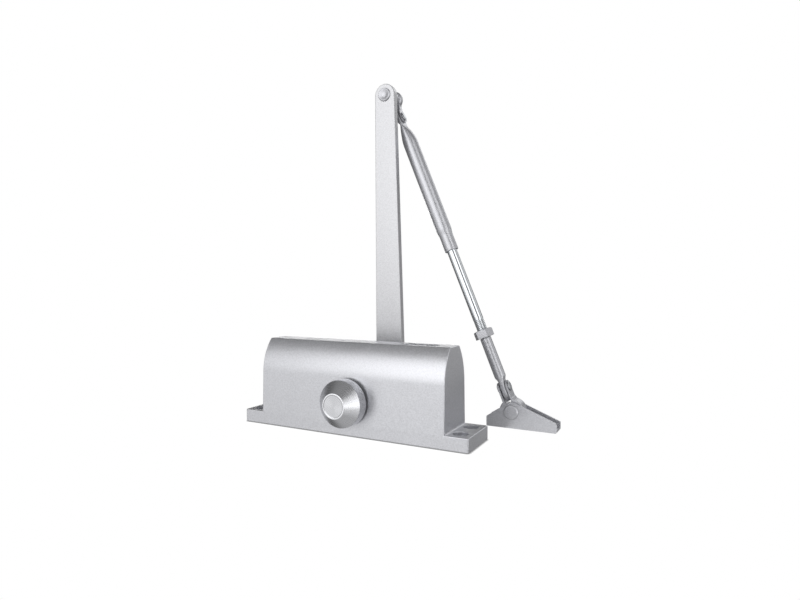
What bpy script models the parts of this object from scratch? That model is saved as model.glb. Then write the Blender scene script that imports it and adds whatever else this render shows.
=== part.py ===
"""Surface-mounted door closer with a folding arm and a frame shoe, in metres, +Z up.

The origin is the centre of the body's mounting face, the face that is screwed to the door leaf (z = 0).
+X runs along the body towards the arm's shoe, +Y along the pinion towards the arm, and +Z away from
the door. The rest pose is the closed door: the main arm stands square to the door and the forearm comes
back to the frame.
"""
import math

import bmesh
import bpy
from mathutils import Vector

MM = 0.001
GAP = 0.3               # gap kept between neighbouring solids, mm

# ---- driving dimensions, mm ----
BODY_LENGTH = 182.6
BODY_WIDTH = 37.0
BODY_HEIGHT = 64.3
FOOT_LENGTH = 16.5
FOOT_THICKNESS = 9.4
TOP_FLAT_WIDTH = 16.0
SIDE_UPRIGHT = 10.0     # height to which the sides are upright
SIDE_DRAFT = 0.9        # how much they lean in from there up to where they start to curve
SIDE_STRAIGHT = 39.0    # height at which the flat sides start to curve inwards
HOLE_SPACING = (165.0, 19.0)
HOLE_RADIUS = 3.2
COUNTERBORE_RADIUS = 5.2
COUNTERBORE_DEPTH = 3.0

PINION_X = 1.85
PINION_Z = 24.0
PINION_TEETH = 10
TOOTH_MODULE = 1.5
PRESSURE_ANGLE = math.radians(25.0)
RACK_ADDENDUM = 1.25
PINION_ADDENDUM = 1.5
ROOT_CLEARANCE = 0.35
BACKLASH = 0.3
TOOTH_WIDTH = 15.0
JOURNAL_RADIUS = 6.5
NECK_OF_SHAFT = 5.6     # shaft radius beside the teeth, clear of the rack's tips
SHAFT_NECK_END = 13.7
SQUARE_HALF = 4.75
SQUARE_CORNER = 4.3
ARM_SQUARE = (5.05, 4.75)
PINION_SWING = math.radians(150.0)

BORE_RADIUS = 13.5
BORE_Z = 25.0
BORE_END_X = 66.0       # blind end of the cylinder bore
CROSS_BORE_RADIUS = 10.5
PISTON_RADIUS = BORE_RADIUS - GAP
PISTON_X = (-18.0, 58.0)
PLUG_LENGTH = 8.5
SPRING_WIRE_RADIUS = 1.6
SPRING_RADIUS = 10.8
SPRING_TURNS = 7

VALVE_X = (41.5, 50.0, 58.5)
VALVE_BORE_RADIUS = 3.9

NUT_RADIUS = 13.5
NUT_OUTER_Y = 25.5
CAP_RADIUS = 16.4
CAP_FACE_RADIUS = 8.65
CAP_GAP = 1.5           # between the cap's skirt and the body's face
CAP_RIM_Y = 28.3
CAP_FACE_Y = 36.1

ARM_FRONT_Y = 42.5
ARM_THICKNESS = 5.3
ARM_LENGTH = 229.9
ARM_LEAN = math.radians(0.92)
ARM_PINION_RADIUS = 12.0
ARM_ELBOW_RADIUS = 8.5

FOREARM_Y = 59.0
SHOE_PIVOT = (97.2, 11.8)
TUBE_RADIUS = 5.95
NECK_RADIUS = 5.3
ROD_RADIUS = 3.95
ROD_END_RADIUS = 4.25
NUT_ACROSS_FLATS = 13.0
NUT_TURN = 4.0          # degrees that a corner of the nut is turned from the forearm's own X
NECK_START = 114.0      # distances along the forearm, measured from the elbow rivet
TUBE_END = 132.6
LOCK_NUT = (198.0, 204.0)
ROD_END_TOP = 204.3
ELBOW_PIN = 16.0
ELBOW_FORK = (1.3, 2.5)     # half widths of the fork at the elbow, inside and outside
ELBOW_TONGUE = 1.0          # half thickness of the tube where it is pressed flat
ELBOW_EAR = 4.7
SHOE_PIN = 18.0             # distance of the shoe link's pin above the shoe rivet
SHOE_FORK = (2.6, 3.9)
SHOE_TONGUE = 2.3
SHOE_LUG = 9.2

SHOE_HALF = 6.5             # half the shoe's depth
SHOE_ROOM = (4.9, 5.5)      # half the channel's width at its floor and at the plates' top
SHOE_APEX = 19.6            # height at which the side plates' two slopes meet
SHOE_BASE = 2.0
SHOE_REAR_DROP = 0.8        # how much lower the rear plate's long slope is
SHOE_LEFT = 78.6
SHOE_RIGHT = 130.2
SHOE_HOLES_X = (84.8, 119.0)

# ---- derived places ----
PITCH_RADIUS = PINION_TEETH * TOOTH_MODULE / 2
TRAVEL = PITCH_RADIUS * PINION_SWING
MAIN_HALF = BODY_LENGTH / 2 - FOOT_LENGTH
ELBOW = (PINION_X - ARM_LENGTH * math.sin(ARM_LEAN), PINION_Z + ARM_LENGTH * math.cos(ARM_LEAN))
FOREARM_LENGTH = math.dist(ELBOW, SHOE_PIVOT)
FOREARM_TILT = math.atan2(ELBOW[0] - SHOE_PIVOT[0], ELBOW[1] - SHOE_PIVOT[1])

MATERIALS = {
    "silver_paint": ((0.60, 0.60, 0.62), 0.42, 0.75),
    "zinc_plate": ((0.72, 0.74, 0.76), 0.25, 1.0),
    "spun_metal": ((0.66, 0.66, 0.68), 0.30, 1.0),
    "steel": ((0.46, 0.46, 0.47), 0.35, 1.0),
    "spring_steel": ((0.22, 0.22, 0.24), 0.40, 1.0),
    "cast_iron": ((0.30, 0.30, 0.31), 0.55, 0.9),
    "brass": ((0.78, 0.60, 0.28), 0.35, 1.0),
    "rubber": ((0.03, 0.03, 0.03), 0.80, 0.0),
}


def material(name):
    found = bpy.data.materials.get(name)
    if found:
        return found
    colour, roughness, metallic = MATERIALS[name]
    made = bpy.data.materials.new(name)
    made.use_nodes = True
    shader = made.node_tree.nodes["Principled BSDF"]
    shader.inputs["Base Color"].default_value = (*colour, 1.0)
    shader.inputs["Roughness"].default_value = roughness
    shader.inputs["Metallic"].default_value = metallic
    made.diffuse_color = (*colour, 1.0)
    return made


def hub(name, x, y, z, tilt=0.0):
    """An empty on a joint's axis; the pieces of that moving body are its children."""
    empty = bpy.data.objects.new(name, None)
    empty.location = (x * MM, y * MM, z * MM)
    empty.rotation_euler = (0.0, tilt, 0.0)
    bpy.context.scene.collection.objects.link(empty)
    return empty


def place(name, mesh, parent, surface):
    piece = bpy.data.objects.new(name, mesh)
    bpy.context.scene.collection.objects.link(piece)
    piece.parent = parent
    mesh.materials.append(material(surface))
    return piece


def finish_mesh(name, bm, smooth=True):
    bmesh.ops.recalc_face_normals(bm, faces=bm.faces)
    mesh = bpy.data.meshes.new(name)
    bm.to_mesh(mesh)
    bm.free()
    if smooth:
        mesh.shade_smooth()
        mesh.set_sharp_from_angle(angle=math.radians(35.0))
    return mesh


def arc(cx, cy, radius, start, end, steps):
    """Points on an arc, angles in degrees."""
    turn = [math.radians(start + (end - start) * i / steps) for i in range(steps + 1)]
    return [(cx + radius * math.cos(a), cy + radius * math.sin(a)) for a in turn]


def prism(name, outline, low, high, along, parent, surface):
    """Extrudes a 2-D outline in mm. along is Y (outline in X, Z), X (in Y, Z) or Z (in X, Y)."""
    spot = {
        "X": lambda p, d: Vector((d, p[0], p[1])),
        "Y": lambda p, d: Vector((p[0], d, p[1])),
        "Z": lambda p, d: Vector((p[0], p[1], d)),
    }[along]
    bm = bmesh.new()
    face = bm.faces.new([bm.verts.new(spot(p, low) * MM) for p in outline])
    grown = bmesh.ops.extrude_face_region(bm, geom=[face])["geom"]
    shift = (spot((0.0, 0.0), high) - spot((0.0, 0.0), low)) * MM
    bmesh.ops.translate(bm, vec=shift, verts=[g for g in grown if isinstance(g, bmesh.types.BMVert)])
    return place(name, finish_mesh(name, bm), parent, surface)


def turned(name, profile, along, parent, surface, centre=(0.0, 0.0), segments=28, closed=False):
    """Revolves (distance along the axis, radius) points in mm. closed joins the last point to the first."""
    spot = {
        "X": lambda d, p, q: (d, centre[0] + p, centre[1] + q),
        "Y": lambda d, p, q: (centre[0] + p, d, centre[1] + q),
        "Z": lambda d, p, q: (centre[0] + p, centre[1] + q, d),
    }[along]
    bm = bmesh.new()
    rings = []
    for distance, radius in profile:
        count = segments if radius > 0 else 1
        angles = [2 * math.pi * i / segments for i in range(count)]
        points = [spot(distance, radius * math.cos(a), radius * math.sin(a)) for a in angles]
        rings.append([bm.verts.new(Vector(p) * MM) for p in points])
    pairs = list(zip(rings, rings[1:]))
    if closed:
        pairs.append((rings[-1], rings[0]))
    for first, second in pairs:
        for i in range(segments):
            j = (i + 1) % segments
            near = [first[i % len(first)], first[j % len(first)]]
            far = [second[j % len(second)], second[i % len(second)]]
            bm.faces.new(list(dict.fromkeys(near + far)))
    return place(name, finish_mesh(name, bm), parent, surface)


def rod(name, low, high, radius, along, parent, surface, centre=(0.0, 0.0), segments=24):
    profile = [(low, 0.0), (low, radius), (high, radius), (high, 0.0)]
    return turned(name, profile, along, parent, surface, centre, segments)


def ring(name, middle, radius, thickness, along, parent, centre=(0.0, 0.0)):
    """A round rubber ring of circular section."""
    section = arc(middle, radius, thickness, 0.0, 300.0, 5)
    return turned(name, section, along, parent, "rubber", centre, 18, closed=True)


def combine(piece, tool, operation):
    """Adds or cuts with a tool that isn't part of the object itself."""
    tool.hide_render = True
    tool.display_type = "WIRE"
    step = piece.modifiers.new(operation.title(), "BOOLEAN")
    step.operation = operation
    step.solver = "EXACT"
    step.object = tool
    return piece


def chamfer(piece, width, segments=1, angle=40.0):
    step = piece.modifiers.new("Edges", "BEVEL")
    step.width = width * MM
    step.segments = segments
    step.limit_method = "ANGLE"
    step.angle_limit = math.radians(angle)


def hexagon(across_flats, turn=0.0):
    radius = across_flats / math.sqrt(3.0)
    return arc(0.0, 0.0, radius, turn, turn + 300.0, 5)


def shifted(outline, dx, dy):
    return [(x + dx, y + dy) for x, y in outline]


def square(half, corner):
    """A square whose corners are turned down, as on a spindle end."""
    signs = ((1, 1), (-1, 1), (-1, -1), (1, -1))
    points = []
    for sx, sy in signs:
        pair = [(sx * half, sy * corner), (sx * corner, sy * half)]
        points += pair if sx * sy > 0 else pair[::-1]
    return points


# ---- body ----
def side_profile():
    """The body's section across its length: flat sides that curve in to a flat top."""
    half = BODY_WIDTH / 2
    shoulder = half - SIDE_DRAFT
    inset = shoulder - TOP_FLAT_WIDTH / 2
    rise = BODY_HEIGHT - SIDE_STRAIGHT
    radius = (rise ** 2 + inset ** 2) / (2 * inset)
    sweep = math.degrees(math.asin(rise / radius))
    right = [(half, SIDE_UPRIGHT), *arc(shoulder - radius, SIDE_STRAIGHT, radius, 0.0, sweep, 8)]
    left = [(-y, z) for y, z in reversed(right)]
    return [(-half, 0.0), (half, 0.0), *right, *left]


def closer_body(base):
    body = prism("closer_body", side_profile(), -MAIN_HALF, MAIN_HALF, "X", base, "silver_paint")
    half = BODY_LENGTH / 2
    plate = [(-half, 0.0), (half, 0.0), (half, FOOT_THICKNESS), (-half, FOOT_THICKNESS)]
    width = BODY_WIDTH / 2
    combine(body, prism("cut_feet", plate, -width, width, "Y", base, "silver_paint"), "UNION")
    bore = rod("cut_bore", -half, BORE_END_X, BORE_RADIUS, "X", base, "silver_paint", (0.0, BORE_Z), 32)
    combine(body, bore, "DIFFERENCE")
    axis = (PINION_X, PINION_Z)
    cross = rod("cut_cross", -width - 5, width + 5, CROSS_BORE_RADIUS, "Y", base, "silver_paint", axis, 24)
    combine(body, cross, "DIFFERENCE")
    for i, x in enumerate(VALVE_X):
        steps = [(BORE_Z, 0.0), (BORE_Z, VALVE_BORE_RADIUS), (BODY_HEIGHT - 1.2, VALVE_BORE_RADIUS),
                 (BODY_HEIGHT - 1.2, VALVE_BORE_RADIUS + 0.5), (BODY_HEIGHT + 3, VALVE_BORE_RADIUS + 0.5),
                 (BODY_HEIGHT + 3, 0.0)]
        tool = turned(f"cut_valve_{i}", steps, "Z", base, "silver_paint", (x, 0.0), 16)
        combine(body, tool, "DIFFERENCE")
    for sx in (-1, 1):
        for sy in (-1, 1):
            spot = (sx * HOLE_SPACING[0] / 2, sy * HOLE_SPACING[1] / 2)
            seat = FOOT_THICKNESS - COUNTERBORE_DEPTH
            steps = [(-3.0, 0.0), (-3.0, HOLE_RADIUS), (seat, HOLE_RADIUS), (seat, COUNTERBORE_RADIUS),
                     (FOOT_THICKNESS + 3, COUNTERBORE_RADIUS), (FOOT_THICKNESS + 3, 0.0)]
            tool = turned(f"cut_hole_{sx}_{sy}", steps, "Z", base, "silver_paint", spot, 16)
            combine(body, tool, "DIFFERENCE")
    return body


def end_plug(base):
    outer = -MAIN_HALF + 0.5
    inner = outer + PLUG_LENGTH
    radius = BORE_RADIUS - GAP
    groove = radius - 2.6
    middle = (outer + inner) / 2
    profile = [(outer, 0.0), (outer, radius - 0.6), (outer + 0.6, radius), (middle - 1.5, radius),
               (middle - 1.5, groove), (middle + 1.5, groove), (middle + 1.5, radius), (inner, radius),
               (inner, 0.0)]
    plug = turned("end_plug", profile, "X", base, "zinc_plate", (0.0, BORE_Z), 28)
    key = shifted(hexagon(12.0), 0.0, BORE_Z)
    combine(plug, prism("cut_plug_key", key, outer - 2, outer + 3.5, "X", base, "zinc_plate"), "DIFFERENCE")
    ring("end_plug_seal", middle, groove + 1.4, 1.05, "X", base, (0.0, BORE_Z))
    return inner


def bearing_set(base, side, label):
    """The nut that closes the cross bore, with the pinion's bush and lip seal inside it."""
    axis = (PINION_X, PINION_Z)
    inner = BODY_WIDTH / 2 - 3.8
    face = BODY_WIDTH / 2 + GAP
    hole = JOURNAL_RADIUS + 2.6
    spigot = CROSS_BORE_RADIUS - GAP
    nut_profile = [(inner, hole), (inner, spigot), (face, spigot), (face, NUT_RADIUS),
                   (NUT_OUTER_Y - 0.8, NUT_RADIUS), (NUT_OUTER_Y, NUT_RADIUS - 0.8), (NUT_OUTER_Y, hole)]
    mirrored = [(side * y, r) for y, r in nut_profile]
    turned(f"bearing_nut_{label}", mirrored, "Y", base, "steel", axis, 24, closed=True)
    sleeve = JOURNAL_RADIUS + GAP
    outer = hole - GAP
    bush = [(inner + 0.2, sleeve), (inner + 0.2, outer), (NUT_OUTER_Y - 3.6, outer),
            (NUT_OUTER_Y - 3.6, sleeve)]
    turned(f"pinion_bush_{label}", [(side * y, r) for y, r in bush], "Y", base, "brass", axis, 20,
           closed=True)
    lip = [(NUT_OUTER_Y - 3.2, sleeve + 0.9), (NUT_OUTER_Y - 3.2, outer), (NUT_OUTER_Y - 0.4, outer),
           (NUT_OUTER_Y - 0.4, sleeve), (NUT_OUTER_Y - 1.4, sleeve)]
    turned(f"pinion_seal_{label}", [(side * y, r) for y, r in lip], "Y", base, "rubber", axis, 20,
           closed=True)


def valve(base, name, x):
    """A regulating screw in the flat top, with its ring seal; it turns about its own axis."""
    axis = hub(f"{name}_axis", x, 0.0, BODY_HEIGHT)
    radius = VALVE_BORE_RADIUS - GAP
    profile = [(-1.6, 0.0), (-1.6, radius - 0.4), (-2.0, radius), (-9.0, radius), (-9.0, 2.0), (-10.9, 2.0),
               (-10.9, radius), (-15.5, radius), (-17.0, 1.6), (-21.0, 0.6), (-21.0, 0.0)]
    screw = turned(name, profile, "Z", axis, "zinc_plate", segments=16)
    slot = [(-4.5, -0.5), (4.5, -0.5), (4.5, 0.5), (-4.5, 0.5)]
    combine(screw, prism(f"cut_{name}", slot, -2.9, 0.0, "Z", axis, "zinc_plate"), "DIFFERENCE")
    ring(f"{name}_seal", -9.95, 2.85, 0.52, "Z", axis)
    axis.parent = base


def pinion_cap(base):
    wall_end = NUT_OUTER_Y + 1.0
    rim = BODY_WIDTH / 2 + CAP_GAP
    inner = NUT_RADIUS + GAP
    profile = [(-CAP_FACE_Y, 0.0), (-CAP_FACE_Y, CAP_FACE_RADIUS), (-CAP_RIM_Y, CAP_RADIUS),
               (-rim, CAP_RADIUS),
               (-rim, inner), (-wall_end, inner), (-wall_end - 1.0, inner + 0.4),
               (-CAP_FACE_Y + 1.6, CAP_FACE_RADIUS - 1.2), (-CAP_FACE_Y + 1.6, 0.0)]
    turned("pinion_cap", profile, "Y", base, "spun_metal", (PINION_X, PINION_Z), 40)


# ---- pinion and piston ----
def involute(angle):
    return math.tan(angle) - angle


def pinion_outline():
    """Involute teeth with a tooth pointing at -Z, so that the rack below has a space there."""
    base_radius = PITCH_RADIUS * math.cos(PRESSURE_ANGLE)
    tip = PITCH_RADIUS + PINION_ADDENDUM
    root = PITCH_RADIUS - RACK_ADDENDUM - ROOT_CLEARANCE
    pitch_half = (math.pi * TOOTH_MODULE - BACKLASH) / (4 * PITCH_RADIUS)
    flank = []
    for i in range(5):
        radius = base_radius + (tip - base_radius) * i / 4
        pressure = math.acos(base_radius / radius)
        flank.append((radius, pitch_half + involute(PRESSURE_ANGLE) - involute(pressure)))
    flank.insert(0, (root, flank[0][1]))
    points = []
    for tooth in range(PINION_TEETH):
        centre = -math.pi / 2 + 2 * math.pi * tooth / PINION_TEETH
        rising = [(r, centre - half) for r, half in flank]
        falling = [(r, centre + half) for r, half in reversed(flank)]
        points += [(r * math.cos(a), r * math.sin(a)) for r, a in rising + falling]
    return points


def pinion_shaft(axis):
    half = TOOTH_WIDTH / 2
    shaft = prism("pinion_shaft", pinion_outline(), -half, half, "Y", axis, "steel")
    back = ARM_FRONT_Y - GAP
    front = -NUT_OUTER_Y - GAP
    journals = [(front, 0.0), (front, JOURNAL_RADIUS), (-SHAFT_NECK_END, JOURNAL_RADIUS),
                (-SHAFT_NECK_END, NECK_OF_SHAFT), (0.1 - half, NECK_OF_SHAFT), (0.1 - half, 4.0),
                (half - 0.1, 4.0),
                (half - 0.1, NECK_OF_SHAFT), (SHAFT_NECK_END, NECK_OF_SHAFT),
                (SHAFT_NECK_END, JOURNAL_RADIUS),
                (back, JOURNAL_RADIUS), (back, 0.0)]
    combine(shaft, turned("cut_journals", journals, "Y", axis, "steel", segments=32), "UNION")
    corner = square(SQUARE_HALF, SQUARE_CORNER)
    arm_back = ARM_FRONT_Y + ARM_THICKNESS
    combine(shaft, prism("cut_back_square", corner, back - 1, arm_back - 0.3, "Y", axis, "steel"), "UNION")
    stub = -CAP_FACE_Y + 2.6
    combine(shaft, prism("cut_front_square", corner, stub, front + 1, "Y", axis, "steel"), "UNION")
    tapped = rod("cut_tapped", arm_back - 14, arm_back + 2, 3.9, "Y", axis, "steel", segments=16)
    combine(shaft, tapped, "DIFFERENCE")


def rack_slot():
    """Outline of the opening through the piston, toothed along its lower edge."""
    clear = PITCH_RADIUS + PINION_ADDENDUM + 0.6
    left = -clear
    right = clear + TRAVEL
    pitch = math.pi * TOOTH_MODULE
    slope = math.tan(PRESSURE_ANGLE)
    tip = -PITCH_RADIUS + RACK_ADDENDUM
    root = -PITCH_RADIUS - PINION_ADDENDUM - ROOT_CLEARANCE
    edge = []
    tooth = math.floor(left / pitch) + 0.5
    while tooth * pitch < right:
        middle = tooth * pitch
        at_tip = pitch / 4 - BACKLASH / 4 - RACK_ADDENDUM * slope
        at_root = pitch / 4 - BACKLASH / 4 + (PINION_ADDENDUM + ROOT_CLEARANCE) * slope
        if middle - at_root > left and middle + at_root < right:
            edge += [(middle - at_root, root), (middle - at_tip, tip)]
            edge += [(middle + at_tip, tip), (middle + at_root, root)]
        tooth += 1
    return [(left, clear), (left, root), *edge, (right, root), (right, clear)]


def piston(slide):
    low, high = PISTON_X
    head = PINION_X + PITCH_RADIUS + PINION_ADDENDUM + 0.6 + TRAVEL + 8.5
    skirt = 9.5
    profile = [(low, 0.0), (low, PISTON_RADIUS - 1), (low + 1, PISTON_RADIUS), (high, PISTON_RADIUS),
               (high, skirt), (head, skirt), (head, 0.0)]
    body = turned("piston", profile, "X", slide, "cast_iron", (0.0, BORE_Z), 28)
    window = shifted(rack_slot(), PINION_X, PINION_Z)
    combine(body, prism("cut_rack", window, -20.0, 20.0, "Y", slide, "cast_iron"), "DIFFERENCE")
    port = [(head - 12, 0.0), (head - 12, 1.2), (head - 5.0, 1.2), (head - 3.5, 3.3), (head + 1, 3.3),
            (head + 1, 0.0)]
    tool = turned("cut_port", port, "X", slide, "cast_iron", (0.0, BORE_Z + 1.5), 12)
    combine(body, tool, "DIFFERENCE")
    bm = bmesh.new()
    bmesh.ops.create_icosphere(bm, subdivisions=1, radius=2.0 * MM)
    bmesh.ops.translate(bm, vec=Vector((head - 2.4, 0.0, BORE_Z + 1.5)) * MM, verts=bm.verts)
    place("check_ball", finish_mesh("check_ball", bm), slide, "steel")
    seat = [(head + 0.3, 1.2), (head + 0.3, 5.0), (head + 2.3, 5.0), (head + 2.3, 1.2)]
    turned("check_valve_cap", seat, "X", slide, "brass", (0.0, BORE_Z + 1.5), 16, closed=True)


def closing_spring(base, low, high):
    """Coil with one dead turn's worth of flat pitch at each end."""
    sides = 5
    per_turn = 12
    count = SPRING_TURNS * per_turn
    start = low + GAP + SPRING_WIRE_RADIUS
    length = high - low - 2 * (GAP + SPRING_WIRE_RADIUS)
    dead = 2 * SPRING_WIRE_RADIUS + 0.2
    bm = bmesh.new()
    loops = []
    for i in range(count + 1):
        turns = i / per_turn
        if turns <= 1:
            x = start + dead * turns
        elif turns >= SPRING_TURNS - 1:
            x = start + length - dead * (SPRING_TURNS - turns)
        else:
            x = start + dead + (length - 2 * dead) * (turns - 1) / (SPRING_TURNS - 2)
        a = 2 * math.pi * turns
        out = Vector((0.0, math.cos(a), math.sin(a)))
        centre = Vector((x, 0.0, BORE_Z)) + out * SPRING_RADIUS
        loop = []
        for k in range(sides):
            s = 2 * math.pi * k / sides
            edge = out * math.cos(s) + Vector((math.sin(s), 0.0, 0.0))
            loop.append(bm.verts.new((centre + edge * SPRING_WIRE_RADIUS) * MM))
        loops.append(loop)
    for first, second in zip(loops, loops[1:]):
        for k in range(sides):
            m = (k + 1) % sides
            bm.faces.new((first[k], first[m], second[m], second[k]))
    bm.faces.new(loops[0][::-1])
    bm.faces.new(loops[-1])
    place("closing_spring", finish_mesh("closing_spring", bm), base, "spring_steel")


# ---- main arm ----
def arm_outline():
    """Two end rounds and their common tangents, in the arm's own X (across) and Z (up)."""
    slope = math.degrees(math.asin((ARM_PINION_RADIUS - ARM_ELBOW_RADIUS) / ARM_LENGTH))
    lower = arc(0.0, 0.0, ARM_PINION_RADIUS, 180.0 - slope, 360.0 + slope, 14)
    upper = arc(0.0, ARM_LENGTH, ARM_ELBOW_RADIUS, slope, 180.0 - slope, 12)
    return lower + upper


def main_arm(axis):
    back = ARM_FRONT_Y + ARM_THICKNESS
    arm = prism("main_arm", arm_outline(), ARM_FRONT_Y, back, "Y", axis, "silver_paint")
    hole = square(*ARM_SQUARE)
    combine(arm, prism("cut_arm_square", hole, ARM_FRONT_Y - 3, back + 3, "Y", axis, "steel"), "DIFFERENCE")
    bore = rod("cut_arm_rivet", ARM_FRONT_Y - 3, back + 3, 3.3, "Y", axis, "steel", (0.0, ARM_LENGTH), 20)
    combine(arm, bore, "DIFFERENCE")
    chamfer(arm, 0.4)


def arm_fixings(axis):
    face = ARM_FRONT_Y + ARM_THICKNESS + GAP
    washer = [(face, 4.3), (face, 9.0), (face + 1.5, 9.0), (face + 1.5, 4.3)]
    turned("arm_washer", washer, "Y", axis, "zinc_plate", segments=28, closed=True)
    seat = face + 1.5 + GAP
    screw = [(seat - 13.0, 0.0), (seat - 12.4, 3.6), (seat, 3.6), (seat, 6.5), (seat + 4.2, 6.5),
             (seat + 5.0, 5.7),
             (seat + 5.0, 0.0)]
    bolt = turned("arm_screw", screw, "Y", axis, "zinc_plate", segments=28)
    key = prism("cut_screw_key", hexagon(6.0), seat + 1.6, seat + 8, "Y", axis, "steel")
    combine(bolt, key, "DIFFERENCE")


def elbow_rivet(axis):
    """Fixed in the arm; the elbow link turns on its shank."""
    head = ARM_FRONT_Y - GAP
    tail = FOREARM_Y + 2.5
    profile = [(head - 0.9, 0.0), (head - 0.9, 4.5), (head - 0.4, 5.15), (head, 5.15), (head, 3.0),
               (tail, 3.0),
               (tail, 4.6), (tail + 0.7, 4.6), (tail + 1.3, 3.8), (tail + 1.3, 0.0)]
    turned("elbow_rivet", profile, "Y", axis, "silver_paint", (0.0, ARM_LENGTH), 24)


# ---- forearm ----
def ear_outline(pin, root, half, steps=10):
    """A fork's ear in Y and Z: straight from the root and round about its pin."""
    if root > pin:
        return [(half, root), (-half, root), *arc(0.0, pin, half, 180.0, 360.0, steps)]
    return [(-half, root), (half, root), *arc(0.0, pin, half, 0.0, 180.0, steps)]


def elbow_link(axis):
    """A round eye and spacer boss on the rivet, with a narrow fork below for the forearm's flat end."""
    boss = ARM_FRONT_Y + ARM_THICKNESS + GAP - FOREARM_Y
    slot_half, half = ELBOW_FORK
    link = turned("elbow_link", [(-2.0, 0.0), (-2.0, 7.0), (2.2, 7.0), (2.2, 0.0)], "Y", axis,
                  "silver_paint",
                  segments=28)
    combine(link, rod("cut_boss", boss, 0.0, 5.6, "Y", axis, "silver_paint"), "UNION")
    neck = [(-half, -12.0), (half, -12.0), (3.1, -7.0), (5.0, -3.0), (-5.0, -3.0), (-3.1, -7.0)]
    combine(link, prism("cut_neck", neck, -2.0, 2.2, "Y", axis, "silver_paint"), "UNION")
    ears = [(2.2, -5.6), (-2.0, -5.6), (-2.2, -8.5), (-4.2, -12.6),
            *arc(0.0, -ELBOW_PIN, ELBOW_EAR, 180.0, 360.0, 10),
            (4.2, -12.6), (2.4, -8.5)]
    combine(link, prism("cut_ears", ears, -half, half, "X", axis, "silver_paint"), "UNION")
    slot = [(-slot_half, -30.0), (slot_half, -30.0), (slot_half, -10.6), (-slot_half, -10.6)]
    combine(link, prism("cut_slot", slot, -10.0, 10.0, "Y", axis, "silver_paint"), "DIFFERENCE")
    combine(link, rod("cut_eye", boss - 3, 8.0, 3.3, "Y", axis, "silver_paint"), "DIFFERENCE")
    hole = rod("cut_elbow_pin", -9.0, 9.0, 2.8, "X", axis, "silver_paint", (0.0, -ELBOW_PIN), 16)
    combine(link, hole, "DIFFERENCE")
    cross_pin("elbow_pin", -ELBOW_PIN, half, axis)


def cross_pin(name, height, fork, axis):
    """A short riveted pin through a fork of this half width, along the fork's own X."""
    head = fork + GAP
    half = [(head, 2.5), (head, 3.6), (head + 0.5, 3.6), (head + 0.9, 2.9), (head + 0.9, 0.0)]
    profile = [(-x, r) for x, r in reversed(half)] + half
    turned(name, profile, "X", axis, "zinc_plate", (0.0, height), 20)


def lofted(name, rings, axis, surface):
    """Skins rings of (z, half width in X, half width in Y) superellipses from end to end."""
    segments = 24
    bm = bmesh.new()
    loops = []
    for z, across, deep, power in rings:
        loop = []
        for i in range(segments):
            a = 2 * math.pi * i / segments
            c, s = math.cos(a), math.sin(a)
            x = across * math.copysign(abs(c) ** power, c)
            y = deep * math.copysign(abs(s) ** power, s)
            loop.append(bm.verts.new(Vector((x, y, z)) * MM))
        loops.append(loop)
    for first, second in zip(loops, loops[1:]):
        for i in range(segments):
            j = (i + 1) % segments
            bm.faces.new((first[i], first[j], second[j], second[i]))
    bm.faces.new(loops[0][::-1])
    bm.faces.new(loops[-1])
    return place(name, finish_mesh(name, bm), axis, surface)


def forearm_tube(axis):
    """Steel tube, flattened at the elbow and necked down at the rod. z is 0 at the elbow rivet."""
    flat, full, neck = ELBOW_TONGUE, TUBE_RADIUS, NECK_RADIUS
    rings = [(-11.6, flat, 2.6, 0.55), (-12.4, flat, 4.0, 0.55), (-14.0, flat, 5.2, 0.5),
             (-17.0, flat, 5.8, 0.5),
             (-23.5, flat, 6.0, 0.5), (-26.5, 2.6, 6.1, 0.7), (-29.5, 4.8, 6.1, 0.9),
             (-33.5, full, full, 1.0),
             (-NECK_START, full, full, 1.0), (-NECK_START - 5, neck, neck, 1.0),
             (-TUBE_END + 0.6, neck, neck, 1.0), (-TUBE_END, neck - 0.5, neck - 0.5, 1.0)]
    tube = lofted("forearm_tube", rings, axis, "silver_paint")
    hollow = rod("cut_tube_bore", -TUBE_END - 3, -NECK_START + 36, ROD_RADIUS + GAP, "Z", axis, "steel",
                 segments=20)
    combine(tube, hollow, "DIFFERENCE")
    hole = rod("cut_tube_pin", -12.0, 12.0, 2.8, "X", axis, "steel", (0.0, -ELBOW_PIN), 16)
    combine(tube, hole, "DIFFERENCE")


def forearm_rod(axis):
    """Plated rod fixed in the tube's neck, threaded at its foot, with a spigot that enters the rod end."""
    top = -NECK_START + 35
    shoulder = -LOCK_NUT[1] + 0.2
    profile = [(top, 0.0), (top, ROD_RADIUS - 0.5), (top - 0.5, ROD_RADIUS), (shoulder, ROD_RADIUS),
               (shoulder, 2.6), (shoulder - 18.4, 2.6), (shoulder - 19, 2.0), (shoulder - 19, 0.0)]
    turned("forearm_rod", profile, "Z", axis, "zinc_plate", segments=20)


def lock_nut(axis):
    outline = hexagon(NUT_ACROSS_FLATS, NUT_TURN)
    nut = prism("lock_nut", outline, -LOCK_NUT[1], -LOCK_NUT[0], "Z", axis, "silver_paint")
    rounded = [(-LOCK_NUT[1] - 0.01, 0.0), (-LOCK_NUT[1] - 0.01, 6.6), (-LOCK_NUT[1] + 0.6, 7.55),
               (-LOCK_NUT[0] - 0.6, 7.55), (-LOCK_NUT[0] + 0.01, 6.6), (-LOCK_NUT[0] + 0.01, 0.0)]
    combine(nut, turned("cut_nut_rounding", rounded, "Z", axis, "silver_paint", segments=30), "INTERSECT")
    hole = rod("cut_nut_hole", -LOCK_NUT[1] - 3, -LOCK_NUT[0] + 3, ROD_RADIUS + GAP, "Z", axis,
               "silver_paint",
               segments=20)
    combine(nut, hole, "DIFFERENCE")


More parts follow.
